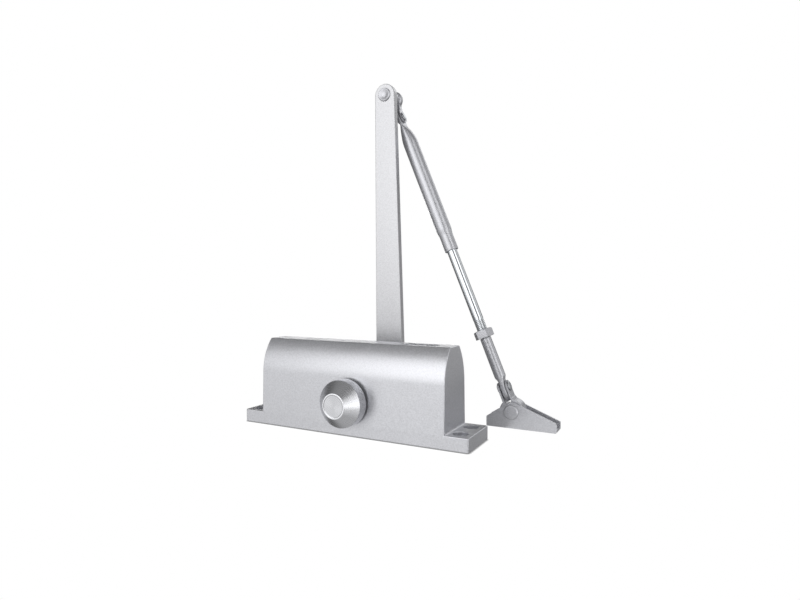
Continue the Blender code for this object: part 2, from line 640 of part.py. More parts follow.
def rod_end(axis):
    """Rod that takes the spigot in its bore and ends in a flat tongue; z is 0 at the tongue's pin."""
    top = FOREARM_LENGTH - SHOE_PIN - ROD_END_TOP
    r = ROD_END_RADIUS
    flat = SHOE_TONGUE
    rings = [(top, r, r, 1.0), (8.5, r, r, 1.0), (5.0, flat, 4.1, 0.6), (-4.0, flat, 4.0, 0.5),
             (-7.0, flat, 3.4, 0.5), (-9.2, 1.9, 2.2, 0.55), (-10.2, 1.5, 1.1, 0.6)]
    piece = lofted("rod_end", rings, axis, "silver_paint")
    bore = rod("cut_rod_end_bore", top - 20.5, top + 3, 2.6 + GAP, "Z", axis, "steel", segments=16)
    combine(piece, bore, "DIFFERENCE")
    hole = rod("cut_tongue_pin", -9.0, 9.0, 2.8, "X", axis, "steel", segments=16)
    combine(piece, hole, "DIFFERENCE")


# ---- shoe ----
def shoe_link(axis):
    """Fork for the rod end above a round lug that turns on the shoe's rivet; z is 0 at the rivet."""
    depth = SHOE_ROOM[0] - GAP
    slot_half, half = SHOE_FORK
    link = rod("shoe_link", -depth, depth, SHOE_LUG, "Y", axis, "silver_paint", segments=32)
    ears = ear_outline(SHOE_PIN, 2.0, depth)
    combine(link, prism("cut_link_ears", ears, -half, half, "X", axis, "silver_paint"), "UNION")
    flare = [(-half, 0.0), (9.0, 0.0), (8.2, 2.2), (6.6, 4.2), (5.2, 6.6), (half, 10.0), (-half, 10.0)]
    combine(link, prism("cut_flare", flare, -depth, depth, "Y", axis, "silver_paint"), "UNION")
    slot_end = 6.2
    slot = [(-slot_half, slot_end), (slot_half, slot_end), (slot_half, 40.0), (-slot_half, 40.0)]
    combine(link, prism("cut_link_slot", slot, -10.0, 10.0, "Y", axis, "silver_paint"), "DIFFERENCE")
    combine(link, rod("cut_link_rivet", -10.0, 10.0, 3.3, "Y", axis, "steel", segments=20), "DIFFERENCE")
    hole = rod("cut_link_pin", -9.0, 9.0, 2.8, "X", axis, "steel", (0.0, SHOE_PIN), 16)
    combine(link, hole, "DIFFERENCE")
    cross_pin("shoe_link_pin", SHOE_PIN, half, axis)


def shoe_outline():
    """A side plate: a low nose and two straight slopes that meet above the rivet."""
    px, pz = SHOE_PIVOT
    left, right, top = SHOE_LEFT - px, SHOE_RIGHT - px, SHOE_APEX - pz
    return [(left + 1.0, -pz), (right - 1.2, -pz), (right, 1.0 - pz), (right, 5.8 - pz),
            (right - 1.7, 7.6 - pz),
            (4.2, top - 1.4), (2.2, top - 0.75), (0.2, top - 0.75), (-2.0, top - 1.75),
            (left + 0.9, 7.9 - pz),
            (left, 6.9 - pz), (left, 1.0 - pz)]


def shoe_bracket(axis):
    """Front and rear plates on a base; the channel between them widens upwards."""
    pz = SHOE_PIVOT[1]
    outline = shoe_outline()
    shoe = prism("shoe_bracket", outline, -SHOE_HALF, SHOE_HALF, "Y", axis, "silver_paint")
    low, high = SHOE_ROOM
    room = [(-low, SHOE_BASE - pz), (low, SHOE_BASE - pz), (high, SHOE_APEX - pz), (high, 30.0),
            (-high, 30.0),
            (-high, SHOE_APEX - pz)]
    combine(shoe, prism("cut_channel", room, -60.0, 60.0, "X", axis, "silver_paint"), "DIFFERENCE")
    start, end = outline[5], outline[4]
    above = [(start[0], start[1] - SHOE_REAR_DROP), (end[0], end[1] - SHOE_REAR_DROP),
             (end[0] + 10, end[1] - 5),
             (end[0] + 10, 30.0), (start[0], 30.0)]
    combine(shoe, prism("cut_rear_slope", above, 0.0, 20.0, "Y", axis, "silver_paint"), "DIFFERENCE")
    combine(shoe, rod("cut_shoe_rivet", -20.0, 20.0, 3.3, "Y", axis, "steel", segments=20), "DIFFERENCE")
    for i, x in enumerate(SHOE_HOLES_X):
        spot = (x - SHOE_PIVOT[0], 0.0)
        hole = rod(f"cut_shoe_hole_{i}", -pz - 3, -pz + 6, 2.4, "Z", axis, "steel", spot, 16)
        combine(shoe, hole, "DIFFERENCE")
    face = SHOE_HALF + GAP
    profile = [(-face - 0.9, 0.0), (-face - 0.9, 4.9), (-face - 0.5, 5.5), (-face, 5.5), (-face, 3.0),
               (face, 3.0),
               (face, 5.0), (face + 0.5, 5.0), (face + 0.9, 4.4), (face + 0.9, 0.0)]
    turned("shoe_rivet", profile, "Y", axis, "silver_paint", segments=24)


def build():
    for old in list(bpy.data.objects):
        bpy.data.objects.remove(old, do_unlink=True)
    base = hub("body_origin", 0.0, 0.0, 0.0)
    closer_body(base)
    plug_face = end_plug(base)
    for side, label in ((-1, "front"), (1, "back")):
        bearing_set(base, side, label)
    pinion_cap(base)
    for name, x in zip(("latch_valve", "sweep_valve", "backcheck_valve"), VALVE_X):
        valve(base, name, x)
    closing_spring(base, plug_face, PISTON_X[0])
    piston(hub("piston_slide", 0.0, 0.0, 0.0))

    pinion_shaft(hub("pinion_axis", PINION_X, 0.0, PINION_Z))
    arm_axis = hub("arm_axis", PINION_X, 0.0, PINION_Z, -ARM_LEAN)
    main_arm(arm_axis)
    arm_fixings(arm_axis)
    elbow_rivet(arm_axis)

    elbow_link(hub("elbow_axis", ELBOW[0], FOREARM_Y, ELBOW[1], FOREARM_TILT))
    forearm = hub("forearm_axis", ELBOW[0], FOREARM_Y, ELBOW[1], FOREARM_TILT)
    forearm_tube(forearm)
    forearm_rod(forearm)
    lock_nut(forearm)

    up = (math.sin(FOREARM_TILT), math.cos(FOREARM_TILT))
    px, pz = SHOE_PIVOT
    rod_end(hub("rod_end_axis", px + SHOE_PIN * up[0], FOREARM_Y, pz + SHOE_PIN * up[1], FOREARM_TILT))
    shoe_link(hub("shoe_link_axis", px, FOREARM_Y, pz, FOREARM_TILT))
    shoe_bracket(hub("shoe_axis", px, FOREARM_Y, pz))


build()
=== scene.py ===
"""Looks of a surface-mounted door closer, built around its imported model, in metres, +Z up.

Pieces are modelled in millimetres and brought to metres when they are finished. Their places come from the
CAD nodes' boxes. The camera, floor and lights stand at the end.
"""
import math

import bmesh
import bpy
from mathutils import Matrix, Vector

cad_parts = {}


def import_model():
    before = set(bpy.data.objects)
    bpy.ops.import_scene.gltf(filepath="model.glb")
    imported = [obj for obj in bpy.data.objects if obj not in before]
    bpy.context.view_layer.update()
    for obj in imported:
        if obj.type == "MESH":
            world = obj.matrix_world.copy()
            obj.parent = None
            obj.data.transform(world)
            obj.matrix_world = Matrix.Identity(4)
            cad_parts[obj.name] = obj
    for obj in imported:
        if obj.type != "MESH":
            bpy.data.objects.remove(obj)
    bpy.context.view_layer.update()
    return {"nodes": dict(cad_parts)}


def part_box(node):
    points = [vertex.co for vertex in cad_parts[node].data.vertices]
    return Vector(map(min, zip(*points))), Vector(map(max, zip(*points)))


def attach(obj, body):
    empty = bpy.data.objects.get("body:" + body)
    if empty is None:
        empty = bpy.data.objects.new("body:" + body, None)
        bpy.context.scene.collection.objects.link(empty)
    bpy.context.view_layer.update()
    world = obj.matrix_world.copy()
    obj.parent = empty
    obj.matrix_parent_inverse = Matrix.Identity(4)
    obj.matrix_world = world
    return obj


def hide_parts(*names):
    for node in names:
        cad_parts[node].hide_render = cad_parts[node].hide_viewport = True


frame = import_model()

MM = 0.001
TAU = 2 * math.pi

# Sizes in mm that the boxes of tilted or joined nodes don't give.
# ---- shared ----
GAP = 0.3
OVERCUT = 3.0
KEY_OVERCUT = 2.0
RIVET_SHANK = 3.0
PIN_RADIUS = 2.5
PIN_HEAD = 3.6

# ---- body, and what closes it ----
SIDE_UPRIGHT = 10.0
SIDE_DRAFT = 0.9
SIDE_STRAIGHT = 39.0
TOP_FLAT = 16.0
BODY_EDGE = 0.6
FOOT_THICKNESS = 9.4
FOOT_CORNER = 0.9
FOOT_FILLET = 1.4
FILLET_SETBACK = 1.2
HOLE_SPACING = (165.0, 19.0)
HOLE_RADIUS = 3.2
COUNTERBORE = (5.2, 3.0)
VALVE_BORE = 3.9
VALVE_SEAT_DEPTH = 1.2
BORE_RADIUS = 13.5
BORE_END_WALL = 8.5
CROSS_BORE = 10.5
PLUG_DISH = (9.6, 10.0, 0.6)
PLUG_GROOVE = (3.0, 2.6)
PLUG_KEY = (12.0, 3.5)
SPANNER_HOLES = 4
SPANNER_HOLE = (11.4, 1.1, 2.0)
SCREW_GROOVE = (7.4, 9.3, 2.0)
SCREW_POINT = (13.9, 15.4)
SCREW_SLOT = (1.0, 1.3)
CAP_FACE_RADIUS = 8.65
CAP_RING_WIDTH = 0.95
CAP_RIM_DEPTH = 7.8

# ---- main arm ----
ARM_PINION_RADIUS = 12.0
ARM_ELBOW_RADIUS = 8.5
ARM_EDGE = 0.55
SQUARE_HALF = 4.75
WASHER_RADII = (4.3, 9.0)
BOLT_RADII = (3.2, 3.6, 6.5)
BOLT_HEAD = 5.0
BOLT_KEY = (6.0, 1.6)
RIVET_TAIL = 4.6

# ---- forearm ----
ELBOW_PIN = 16.0
ELBOW_EYE = 7.0
ELBOW_BOSS = 5.6
ELBOW_FORK = (1.3, 2.5)
ELBOW_TONGUE = 1.0
ELBOW_EAR = 4.7
PRESSED_WIDTH = 6.0
PRESSED_END = 24.0
SWELL = 17.0
TUBE_RADIUS = 5.95
NECK_RADIUS = 5.3
NECK_START = 114.0
NECK_TAPER = 6.5
TUBE_END = 132.6
ROD_RADIUS = 3.95
ROD_FOOT = 2.6
THREAD_PITCH = 1.25
THREAD_DEPTH = 0.25
THREAD_RUN = 9.0
NUT_FLATS = 13.0
NUT_TURN = 4.0
LOCK_NUT = (198.0, 204.0)
ROD_END_TOP = 204.3
ROD_END_RADIUS = 4.25
ROD_END_BORE = (2.9, 20.5)

# ---- shoe ----
SHOE_PIN = 18.0
SHOE_FORK = (2.6, 3.9)
SHOE_TONGUE = 2.3
SHOE_LUG = 9.2
SHOE_ROOM = (4.9, 5.5)
SHOE_BASE = 2.0
SHOE_APEX = (0.7, 7.8)
SHOE_ENDS = (-4.43, -4.93)
SHOE_REAR_DROP = 0.8
SHOE_HOLES = (84.8, 119.0)
SHOE_HOLE = (2.4, 3.4)


def span(node):
    """Lowest and highest corner of a CAD node, in mm."""
    low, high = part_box(node)
    return low / MM, high / MM


def middle(node):
    low, high = span(node)
    return (low + high) / 2


PINION = middle("pinion_cap")
ELBOW = middle("elbow_rivet")
SHOE = middle("shoe_rivet")
FOREARM_LENGTH = math.hypot(ELBOW.x - SHOE.x, ELBOW.z - SHOE.z)
FOREARM_TILT = math.atan2(ELBOW.x - SHOE.x, ELBOW.z - SHOE.z)
ARM_LENGTH = math.hypot(ELBOW.x - PINION.x, ELBOW.z - PINION.z)
ARM_TILT = math.atan2(ELBOW.x - PINION.x, ELBOW.z - PINION.z)


def stand(x, y, z, tilt=0.0):
    """Placement of a local frame: its origin in mm and its turn about Y."""
    return Matrix.Translation((x, y, z)) @ Matrix.Rotation(tilt, 4, "Y")


ARM_PLACE = stand(PINION.x, 0.0, PINION.z, ARM_TILT)
ELBOW_PLACE = stand(ELBOW.x, SHOE.y, ELBOW.z, FOREARM_TILT)
SHOE_LINK_PLACE = stand(SHOE.x, SHOE.y, SHOE.z, FOREARM_TILT)
SHOE_PLACE = stand(SHOE.x, SHOE.y, SHOE.z)
ROD_END_PLACE = SHOE_LINK_PLACE @ Matrix.Translation((0.0, 0.0, SHOE_PIN))


# ---- outlines ----
NEARLY_STRAIGHT = math.radians(176.0)
CORNER_SHARE = 0.48


def arc(cx, cy, radius, start, end, steps):
    """Points on an arc, angles in degrees."""
    turns = [math.radians(start + (end - start) * i / steps) for i in range(steps + 1)]
    return [(cx + radius * math.cos(a), cy + radius * math.sin(a)) for a in turns]


def hexagon(flats, turn=0.0):
    """Corners of a hexagon by its width across flats."""
    return arc(0.0, 0.0, flats / math.sqrt(3.0), turn, turn + 300.0, steps=5)


def soften(points, radius, steps=5, closed=True):
    """Rounds a polyline's corners. A point may carry its own radius as a third number."""
    count = len(points)
    made = []
    for i, point in enumerate(points):
        here = Vector(point[:2])
        size = point[2] if len(point) > 2 else radius
        if size <= 0 or (not closed and i in (0, count - 1)):
            made.append(tuple(here))
            continue
        back = Vector(points[i - 1][:2]) - here
        ahead = Vector(points[(i + 1) % count][:2]) - here
        between = back.angle(ahead)
        room = CORNER_SHARE * min(back.length, ahead.length)
        reach = min(size / math.tan(between / 2), room)
        if between > NEARLY_STRAIGHT:
            made.append(tuple(here))
            continue
        start, end = here + back.normalized() * reach, here + ahead.normalized() * reach
        bend = reach * math.tan(between / 2)
        centre = here + (back.normalized() + ahead.normalized()).normalized() * bend / math.sin(between / 2)
        first, last = start - centre, end - centre
        turn = first.angle_signed(last)
        for k in range(steps + 1):
            spin = Matrix.Rotation(-turn * k / steps, 2)
            made.append(tuple(centre + spin @ first))
    return made


def mirrored(outline):
    """Adds the outline's own mirror image in its first coordinate."""
    return outline + [(-x, *rest) for x, *rest in reversed(outline)]


# ---- meshes, in mm ----
POLE = 1e-6
SEAM = 1e-5


def blank(name, bm):
    """Makes an object of a bmesh, its faces turned outwards."""
    bmesh.ops.recalc_face_normals(bm, faces=bm.faces)
    mesh = bpy.data.meshes.new(name)
    bm.to_mesh(mesh)
    bm.free()
    piece = bpy.data.objects.new(name, mesh)
    bpy.context.scene.collection.objects.link(piece)
    return piece


AXES = {
    "X": lambda p, q, d: (d, p, q),
    "Y": lambda p, q, d: (p, d, q),
    "Z": lambda p, q, d: (p, q, d),
}


def prism(outline, low, high, along, name="tool"):
    """Extrudes an outline along an axis; the outline holds the other two coordinates in their order."""
    spot = AXES[along]
    bm = bmesh.new()
    ends = [[bm.verts.new(spot(*p[:2], d)) for p in outline] for d in (low, high)]
    bm.faces.new(ends[0])
    bm.faces.new(ends[1][::-1])
    for i in range(len(outline)):
        j = (i + 1) % len(outline)
        bm.faces.new((ends[0][i], ends[0][j], ends[1][j], ends[1][i]))
    return blank(name, bm)


def skin(rings, name="tool", capped=True):
    """Joins rings of points from first to last; a ring of one point is a pole."""
    bm = bmesh.new()
    loops = [[bm.verts.new(p) for p in ring] for ring in rings]
    for first, second in zip(loops, loops[1:]):
        count = max(len(first), len(second))
        for i in range(count):
            j = (i + 1) % count
            corners = [first[i % len(first)], first[j % len(first)], second[j % len(second)],
                       second[i % len(second)]]
            bm.faces.new(list(dict.fromkeys(corners)))
    if capped:
        for loop in (loops[0], loops[-1]):
            if len(loop) > 2:
                bm.faces.new(loop)
    return blank(name, bm)


def lathe(profile, along, centre=(0.0, 0.0), segments=64, name="tool", closed=False):
    """Revolves (distance, radius) points about an axis; closed joins the last to the first."""
    spot = AXES[along]
    points = list(profile) + ([profile[0]] if closed else [])
    rings = []
    for distance, radius in points:
        turns = [TAU * i / segments for i in range(segments if radius > POLE else 1)]
        rings.append([spot(centre[0] + radius * math.cos(a), centre[1] + radius * math.sin(a), distance)
                      for a in turns])
    piece = skin(rings, name, capped=False)
    if closed:
        weld(piece)
    return piece


def weld(piece):
    """Closes the seam between a ring's first and last row."""
    bm = bmesh.new()
    bm.from_mesh(piece.data)
    bmesh.ops.remove_doubles(bm, verts=bm.verts, dist=SEAM)
    bmesh.ops.recalc_face_normals(bm, faces=bm.faces)
    bm.to_mesh(piece.data)
    bm.free()


def settle(piece):
    """Applies the piece's modifiers."""
    shape = bpy.data.meshes.new_from_object(piece.evaluated_get(bpy.context.evaluated_depsgraph_get()))
    old = piece.data
    piece.modifiers.clear()
    piece.data = shape
    bpy.data.meshes.remove(old)
    return piece


def combine(piece, tool, operation):
    """Boolean of two closed pieces, which uses up the second."""
    step = piece.modifiers.new("Combine", "BOOLEAN")
    step.operation = operation
    step.solver = "EXACT"
    step.object = tool
    settle(piece)
    used = tool.data
    bpy.data.objects.remove(tool)
    bpy.data.meshes.remove(used)
    return piece


def join(piece, *tools):
    for tool in tools:
        combine(piece, tool, "UNION")
    return piece


def cut(piece, *tools):
    for tool in tools:
        combine(piece, tool, "DIFFERENCE")
    return piece


def round_edges(piece, width, segments=3, angle=35.0):
    """Rounds every edge that is sharper than an angle in degrees."""
    step = piece.modifiers.new("Edges", "BEVEL")
    step.width = width
    step.segments = segments
    step.limit_method = "ANGLE"
    step.angle_limit = math.radians(angle)
    step.use_clamp_overlap = True
    step.miter_outer = "MITER_ARC"
    return settle(piece)


def mouth(end, inward, radius, flare, steps=4):
    """Quarter round from a hole's wide mouth at this end to its wall."""
    quarter = [TAU / 4 * k / steps for k in range(steps + 1)]
    return [(end + inward * flare * (1 - math.cos(a)), radius + flare * (1 - math.sin(a))) for a in quarter]


def bore(radius, low, high, along, centre=(0.0, 0.0), flare=0.0, segments=48, both=False):
    """A drill for cut(); flare rounds the hole's mouth at the high end, or at both ends."""
    if not flare:
        return lathe([(low, 0.0), (low, radius), (high, radius), (high, 0.0)], along, centre, segments)
    ahead = OVERCUT if high > low else -OVERCUT
    inward = 1 if high > low else -1
    wide = radius + flare
    foot = [(low, 0.0), (low, radius)]
    if both:
        foot = [(low - ahead, 0.0), (low - ahead, wide), *mouth(low, inward, radius, flare)]
    head = [*mouth(high, -inward, radius, flare)[::-1], (high + ahead, wide), (high + ahead, 0.0)]
    return lathe(foot + head, along, centre, segments)


def present(piece, name, place, body, nodes, look, crease=40.0, weighted=True):
    """Brings a finished piece to metres, in place, gives it its finish, ties it to its body and hides the
    nodes it stands for.
    """
    piece.name = name
    piece.data.name = name
    piece.data.transform(Matrix.Scale(MM, 4) @ place)
    piece.data.materials.clear()
    piece.data.materials.append(look)
    piece.data.shade_smooth()
    piece.data.set_sharp_from_angle(angle=math.radians(crease))
    if weighted:
        step = piece.modifiers.new("Normals", "WEIGHTED_NORMAL")
        step.mode = "FACE_AREA"
        step.keep_sharp = True
    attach(piece, body)
    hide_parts(*nodes)


# ---- materials ----
class Look:
    """A node material being put together around one Principled shader."""

    def __init__(self, name, colour, roughness, metallic):
        self.material = bpy.data.materials.new(name)
        self.material.use_nodes = True
        self.tree = self.material.node_tree
        self.shader = self.tree.nodes["Principled BSDF"]
        self.shader.inputs["Base Color"].default_value = (*colour, 1.0)
        self.shader.inputs["Roughness"].default_value = roughness
        self.shader.inputs["Metallic"].default_value = metallic
        self.place = self.node("ShaderNodeTexCoord").outputs["Object"]

    def node(self, kind, **settings):
        made = self.tree.nodes.new(kind)
        for key, value in settings.items():
            setattr(made, key, value)
        return made

    def link(self, source, target):
        self.tree.links.new(source, target)

    def noise(self, scale, detail=2.0, roughness=0.5, stretch=None):
        made = self.node("ShaderNodeTexNoise")
        made.inputs["Scale"].default_value = scale
        made.inputs["Detail"].default_value = detail
        made.inputs["Roughness"].default_value = roughness
        place = self.place
        if stretch:
            mapping = self.node("ShaderNodeMapping")
            mapping.inputs["Scale"].default_value = stretch
            self.link(place, mapping.inputs["Vector"])
            place = mapping.outputs["Vector"]
        self.link(place, made.inputs["Vector"])
        return made.outputs["Fac"]

    def cells(self, scale):
        """A random value for each cell, one flake of pigment to a cell."""
        made = self.node("ShaderNodeTexVoronoi")
        made.inputs["Scale"].default_value = scale
        self.link(self.place, made.inputs["Vector"])
        split = self.node("ShaderNodeSeparateColor")
        self.link(made.outputs["Color"], split.inputs["Color"])
        return split.outputs["Red"]

    def about_pinion(self):
        """Distance from the pinion's axis, and the place along it."""
        mapping = self.node("ShaderNodeMapping")
        mapping.inputs["Location"].default_value = (-PINION.x * MM, 0.0, -PINION.z * MM)
        self.link(self.place, mapping.inputs["Vector"])
        split = self.node("ShaderNodeSeparateXYZ")
        self.link(mapping.outputs["Vector"], split.inputs["Vector"])
        flat = self.node("ShaderNodeCombineXYZ")
        self.link(split.outputs["X"], flat.inputs["X"])
        self.link(split.outputs["Z"], flat.inputs["Y"])
        radius = self.node("ShaderNodeVectorMath", operation="LENGTH")
        self.link(flat.outputs["Vector"], radius.inputs[0])
        return radius.outputs["Value"], split.outputs["Y"]

    def ramp(self, source, low, high, start=0.0, end=1.0):
        made = self.node("ShaderNodeMapRange")
        made.inputs["From Min"].default_value = start
        made.inputs["From Max"].default_value = end
        made.inputs["To Min"].default_value = low
        made.inputs["To Max"].default_value = high
        self.link(source, made.inputs["Value"])
        return made.outputs["Result"]

    def sum(self, *sources):
        total = sources[0]
        for source in sources[1:]:
            made = self.node("ShaderNodeMath", operation="ADD")
            self.link(total, made.inputs[0])
            self.link(source, made.inputs[1])
            total = made.outputs["Value"]
        return total

    def tint(self, value, dark, light):
        """Base colour between two colours by a value."""
        made = self.node("ShaderNodeMix", data_type="RGBA")
        made.inputs["A"].default_value = (*dark, 1.0)
        made.inputs["B"].default_value = (*light, 1.0)
        self.link(value, made.inputs["Factor"])
        self.link(made.outputs["Result"], self.shader.inputs["Base Color"])

    def roughness(self, value):
        self.link(value, self.shader.inputs["Roughness"])

    def bump(self, height, strength, distance):
        made = self.node("ShaderNodeBump")
        made.inputs["Strength"].default_value = strength
        made.inputs["Distance"].default_value = distance
        self.link(height, made.inputs["Height"])
        self.link(made.outputs["Normal"], self.shader.inputs["Normal"])


def scaled(colour, factor):
    return tuple(min(1.0, c * factor) for c in colour)


def paint(name, colour, roughness, grain=1.0, metallic=0.88):
    """Silver lacquer: aluminium flakes under a satin film, a little orange peel and faint blotches."""
    look = Look(name, colour, roughness, metallic)
    flakes = look.cells(scale=1500.0)
    fine = look.noise(scale=900.0, detail=3.0, roughness=0.6)
    blotch = look.noise(scale=26.0)
    sparkle, tooth, spread = 0.28 * grain, 0.30, 0.03
    value = look.sum(look.ramp(flakes, -sparkle, sparkle), look.ramp(fine, -tooth, tooth),
                     look.ramp(blotch, 0.32, 0.68))
    look.tint(value, scaled(colour, 0.86), scaled(colour, 1.12))
    look.roughness(look.sum(look.ramp(flakes, -0.05, 0.05),
                            look.ramp(blotch, roughness - spread, roughness + spread)))
    height = look.sum(look.ramp(fine, 0.0, 0.7), look.ramp(flakes, 0.0, 0.3))
    look.bump(height, strength=0.12 * grain, distance=0.00012)
    look.shader.inputs["Coat Weight"].default_value = 0.12
    look.shader.inputs["Coat Roughness"].default_value = 0.22
    return look.material


def plated(name, colour, roughness, stretch):
    """Bright zinc on drawn steel: fine lines along the bar and faint clouding."""
    look = Look(name, colour, roughness, metallic=1.0)
    lines = look.noise(scale=1.0, detail=3.0, roughness=0.6, stretch=stretch)
    cloud = look.noise(scale=70.0, detail=3.0)
    look.tint(look.sum(look.ramp(lines, 0.1, 0.5), look.ramp(cloud, 0.0, 0.4)), scaled(colour, 0.88),
              colour)
    look.roughness(look.sum(look.ramp(lines, -0.05, 0.06),
                            look.ramp(cloud, roughness - 0.03, roughness + 0.04)))
    look.bump(lines, strength=0.10, distance=0.00004)
    return look.material


def steel(name, colour, roughness, scale=400.0):
    """Machined or bare metal with a fine tooth and slight staining."""
    look = Look(name, colour, roughness, metallic=1.0)
    tooth = look.noise(scale, detail=4.0, roughness=0.65)
    stain = look.noise(scale=90.0, detail=3.0)
    value = look.sum(look.ramp(tooth, 0.0, 0.4), look.ramp(stain, 0.1, 0.6))
    look.tint(value, scaled(colour, 0.78), scaled(colour, 1.1))
    look.roughness(look.ramp(stain, roughness - 0.07, roughness + 0.09))
    look.bump(tooth, strength=0.15, distance=0.00006)
    return look.material


def turned_metal(name, colour, roughness):
    """Turned and brushed about the pinion's axis: rings in the surface, light drawn out across them, a
    painted highlight round the disc.
    """
    look = Look(name, colour, roughness, metallic=1.0)
    distance, depth = look.about_pinion()
    ring = look.node("ShaderNodeCombineXYZ")
    look.link(distance, ring.inputs["X"])
    look.link(depth, ring.inputs["Y"])
    grooves = look.node("ShaderNodeTexNoise")
    grooves.inputs["Scale"].default_value = 4200.0
    grooves.inputs["Detail"].default_value = 3.0
    look.link(ring.outputs["Vector"], grooves.inputs["Vector"])
    lines = grooves.outputs["Fac"]
    cloud = look.noise(scale=260.0, detail=3.0, roughness=0.6)
    # Painted highlight: lighter base colour on the ring round the face disc, where that ring catches the
    # light.
    inner, outer = (CAP_FACE_RADIUS - 0.9) * MM, (CAP_FACE_RADIUS + 0.1) * MM
    rim, edge = 0.9, 0.1 * MM
    painted_ring_highlight = look.sum(look.ramp(distance, 0.0, rim, inner, inner + edge),
                    look.ramp(distance, 0.0, -rim, outer, outer + edge))
    value = look.sum(look.ramp(lines, 0.0, 0.4), look.ramp(cloud, 0.0, 0.2), painted_ring_highlight)
    look.tint(value, scaled(colour, 0.90), scaled(colour, 1.30))
    look.roughness(look.sum(look.ramp(lines, -0.06, 0.06),
                            look.ramp(cloud, roughness - 0.03, roughness + 0.03)))
    look.bump(lines, strength=0.22, distance=0.00005)
    look.shader.inputs["Anisotropic"].default_value = 0.65
    tangent = look.node("ShaderNodeTangent", direction_type="RADIAL", axis="Y")
    look.link(tangent.outputs["Tangent"], look.shader.inputs["Tangent"])
    return look.material


def rubber(name):
    """Black seal with a matt, finely grained skin."""
    look = Look(name, (0.025, 0.025, 0.027), roughness=0.7, metallic=0.0)
    grain = look.noise(scale=1400.0, detail=3.0, roughness=0.6)
    look.tint(grain, (0.015, 0.015, 0.016), (0.045, 0.045, 0.048))
    look.roughness(look.ramp(grain, 0.62, 0.82))
    look.bump(grain, strength=0.2, distance=0.00005)
    return look.material


PAINT = paint("silver_lacquer", (0.66, 0.665, 0.695), roughness=0.36)
ARM_PAINT = paint("silver_lacquer_arm", (0.61, 0.612, 0.63), roughness=0.40, grain=1.2)
LINK_PAINT = paint("silver_lacquer_links", (0.59, 0.595, 0.625), roughness=0.36, metallic=0.72)
SPUN = turned_metal("turned_aluminium", (0.70, 0.705, 0.73), roughness=0.27)
ZINC = plated("zinc_bar", (0.80, 0.83, 0.86), roughness=0.13, stretch=(900.0, 900.0, 60.0))
ZINC_HEAD = steel("zinc_fixings", (0.56, 0.575, 0.60), roughness=0.26, scale=500.0)
STEEL = steel("machined_steel", (0.46, 0.46, 0.48), roughness=0.32)
SPRING = steel("spring_wire", (0.20, 0.20, 0.22), roughness=0.38, scale=300.0)
IRON = steel("cast_piston", (0.27, 0.27, 0.28), roughness=0.5, scale=260.0)
BRASS = steel("bush_brass", (0.72, 0.53, 0.24), roughness=0.3)
RUBBER = rubber("seal_rubber")


# ---- body ----
VALVES = ("latch", "sweep", "backcheck")


def side_outline():
    """Section across the body: upright feet sides, a drafted wall, then an arc up to the flat top."""
    high = span("closer_body")[1]
    half, top = high.y - SIDE_DRAFT, TOP_FLAT / 2
    rise, inset = high.z - SIDE_STRAIGHT, half - top
    radius = (rise ** 2 + inset ** 2) / (2 * inset)
    sweep = math.degrees(math.asin(rise / radius))
    curve = arc(half - radius, SIDE_STRAIGHT, radius, 0.0, sweep, steps=22)
    return mirrored([(high.y, 0.0), (high.y, SIDE_UPRIGHT), *curve])


def foot_fillet(side, block):
    """Strip that rounds the inner corner between an end face and its foot."""
    low, high = span("closer_body")
    radius = FOOT_FILLET
    quarter = [TAU / 4 * k / 5 for k in range(6)]
    hollow = [(side * (block + radius - radius * math.cos(a)), FOOT_THICKNESS + radius - radius * math.sin(a))
              for a in quarter]
    inside, under = side * (block - 1.0), FOOT_THICKNESS - 1.0
    corner = [(inside, under), (inside, FOOT_THICKNESS + radius), *hollow, (side * (block + radius), under)]
    return prism(corner, low.y + FILLET_SETBACK, high.y - FILLET_SETBACK, "Y")


def valve_bore(node, foot, top):
    """Drill for a regulating screw, with a wider seat and a flared mouth in the flat top."""
    seat = top - VALVE_SEAT_DEPTH
    wide, flared = VALVE_BORE + 0.5, VALVE_BORE + 0.9
    steps = [(foot, 0.0), (foot, VALVE_BORE), (seat, VALVE_BORE), (seat, wide), (top - 0.4, wide),
             (top, flared), (top + OVERCUT, flared), (top + OVERCUT, 0.0)]
    return lathe(steps, "Z", (middle(node).x, 0.0), 40)


def foot_hole(spot):
    """Counterbored drill through a foot, with a small chamfer at the seat and a rounded mouth."""
    radius, depth = COUNTERBORE
    top, seat = FOOT_THICKNESS, FOOT_THICKNESS - depth
    wide = radius + 0.35
    steps = [(-OVERCUT, 0.0), (-OVERCUT, HOLE_RADIUS), (seat - 0.3, HOLE_RADIUS), (seat, HOLE_RADIUS + 0.3),
             (seat, radius), (top - 0.35, radius), (top - 0.1, radius + 0.1), (top, wide),
             (top + OVERCUT, wide), (top + OVERCUT, 0.0)]
    return lathe(steps, "Z", spot, 40)


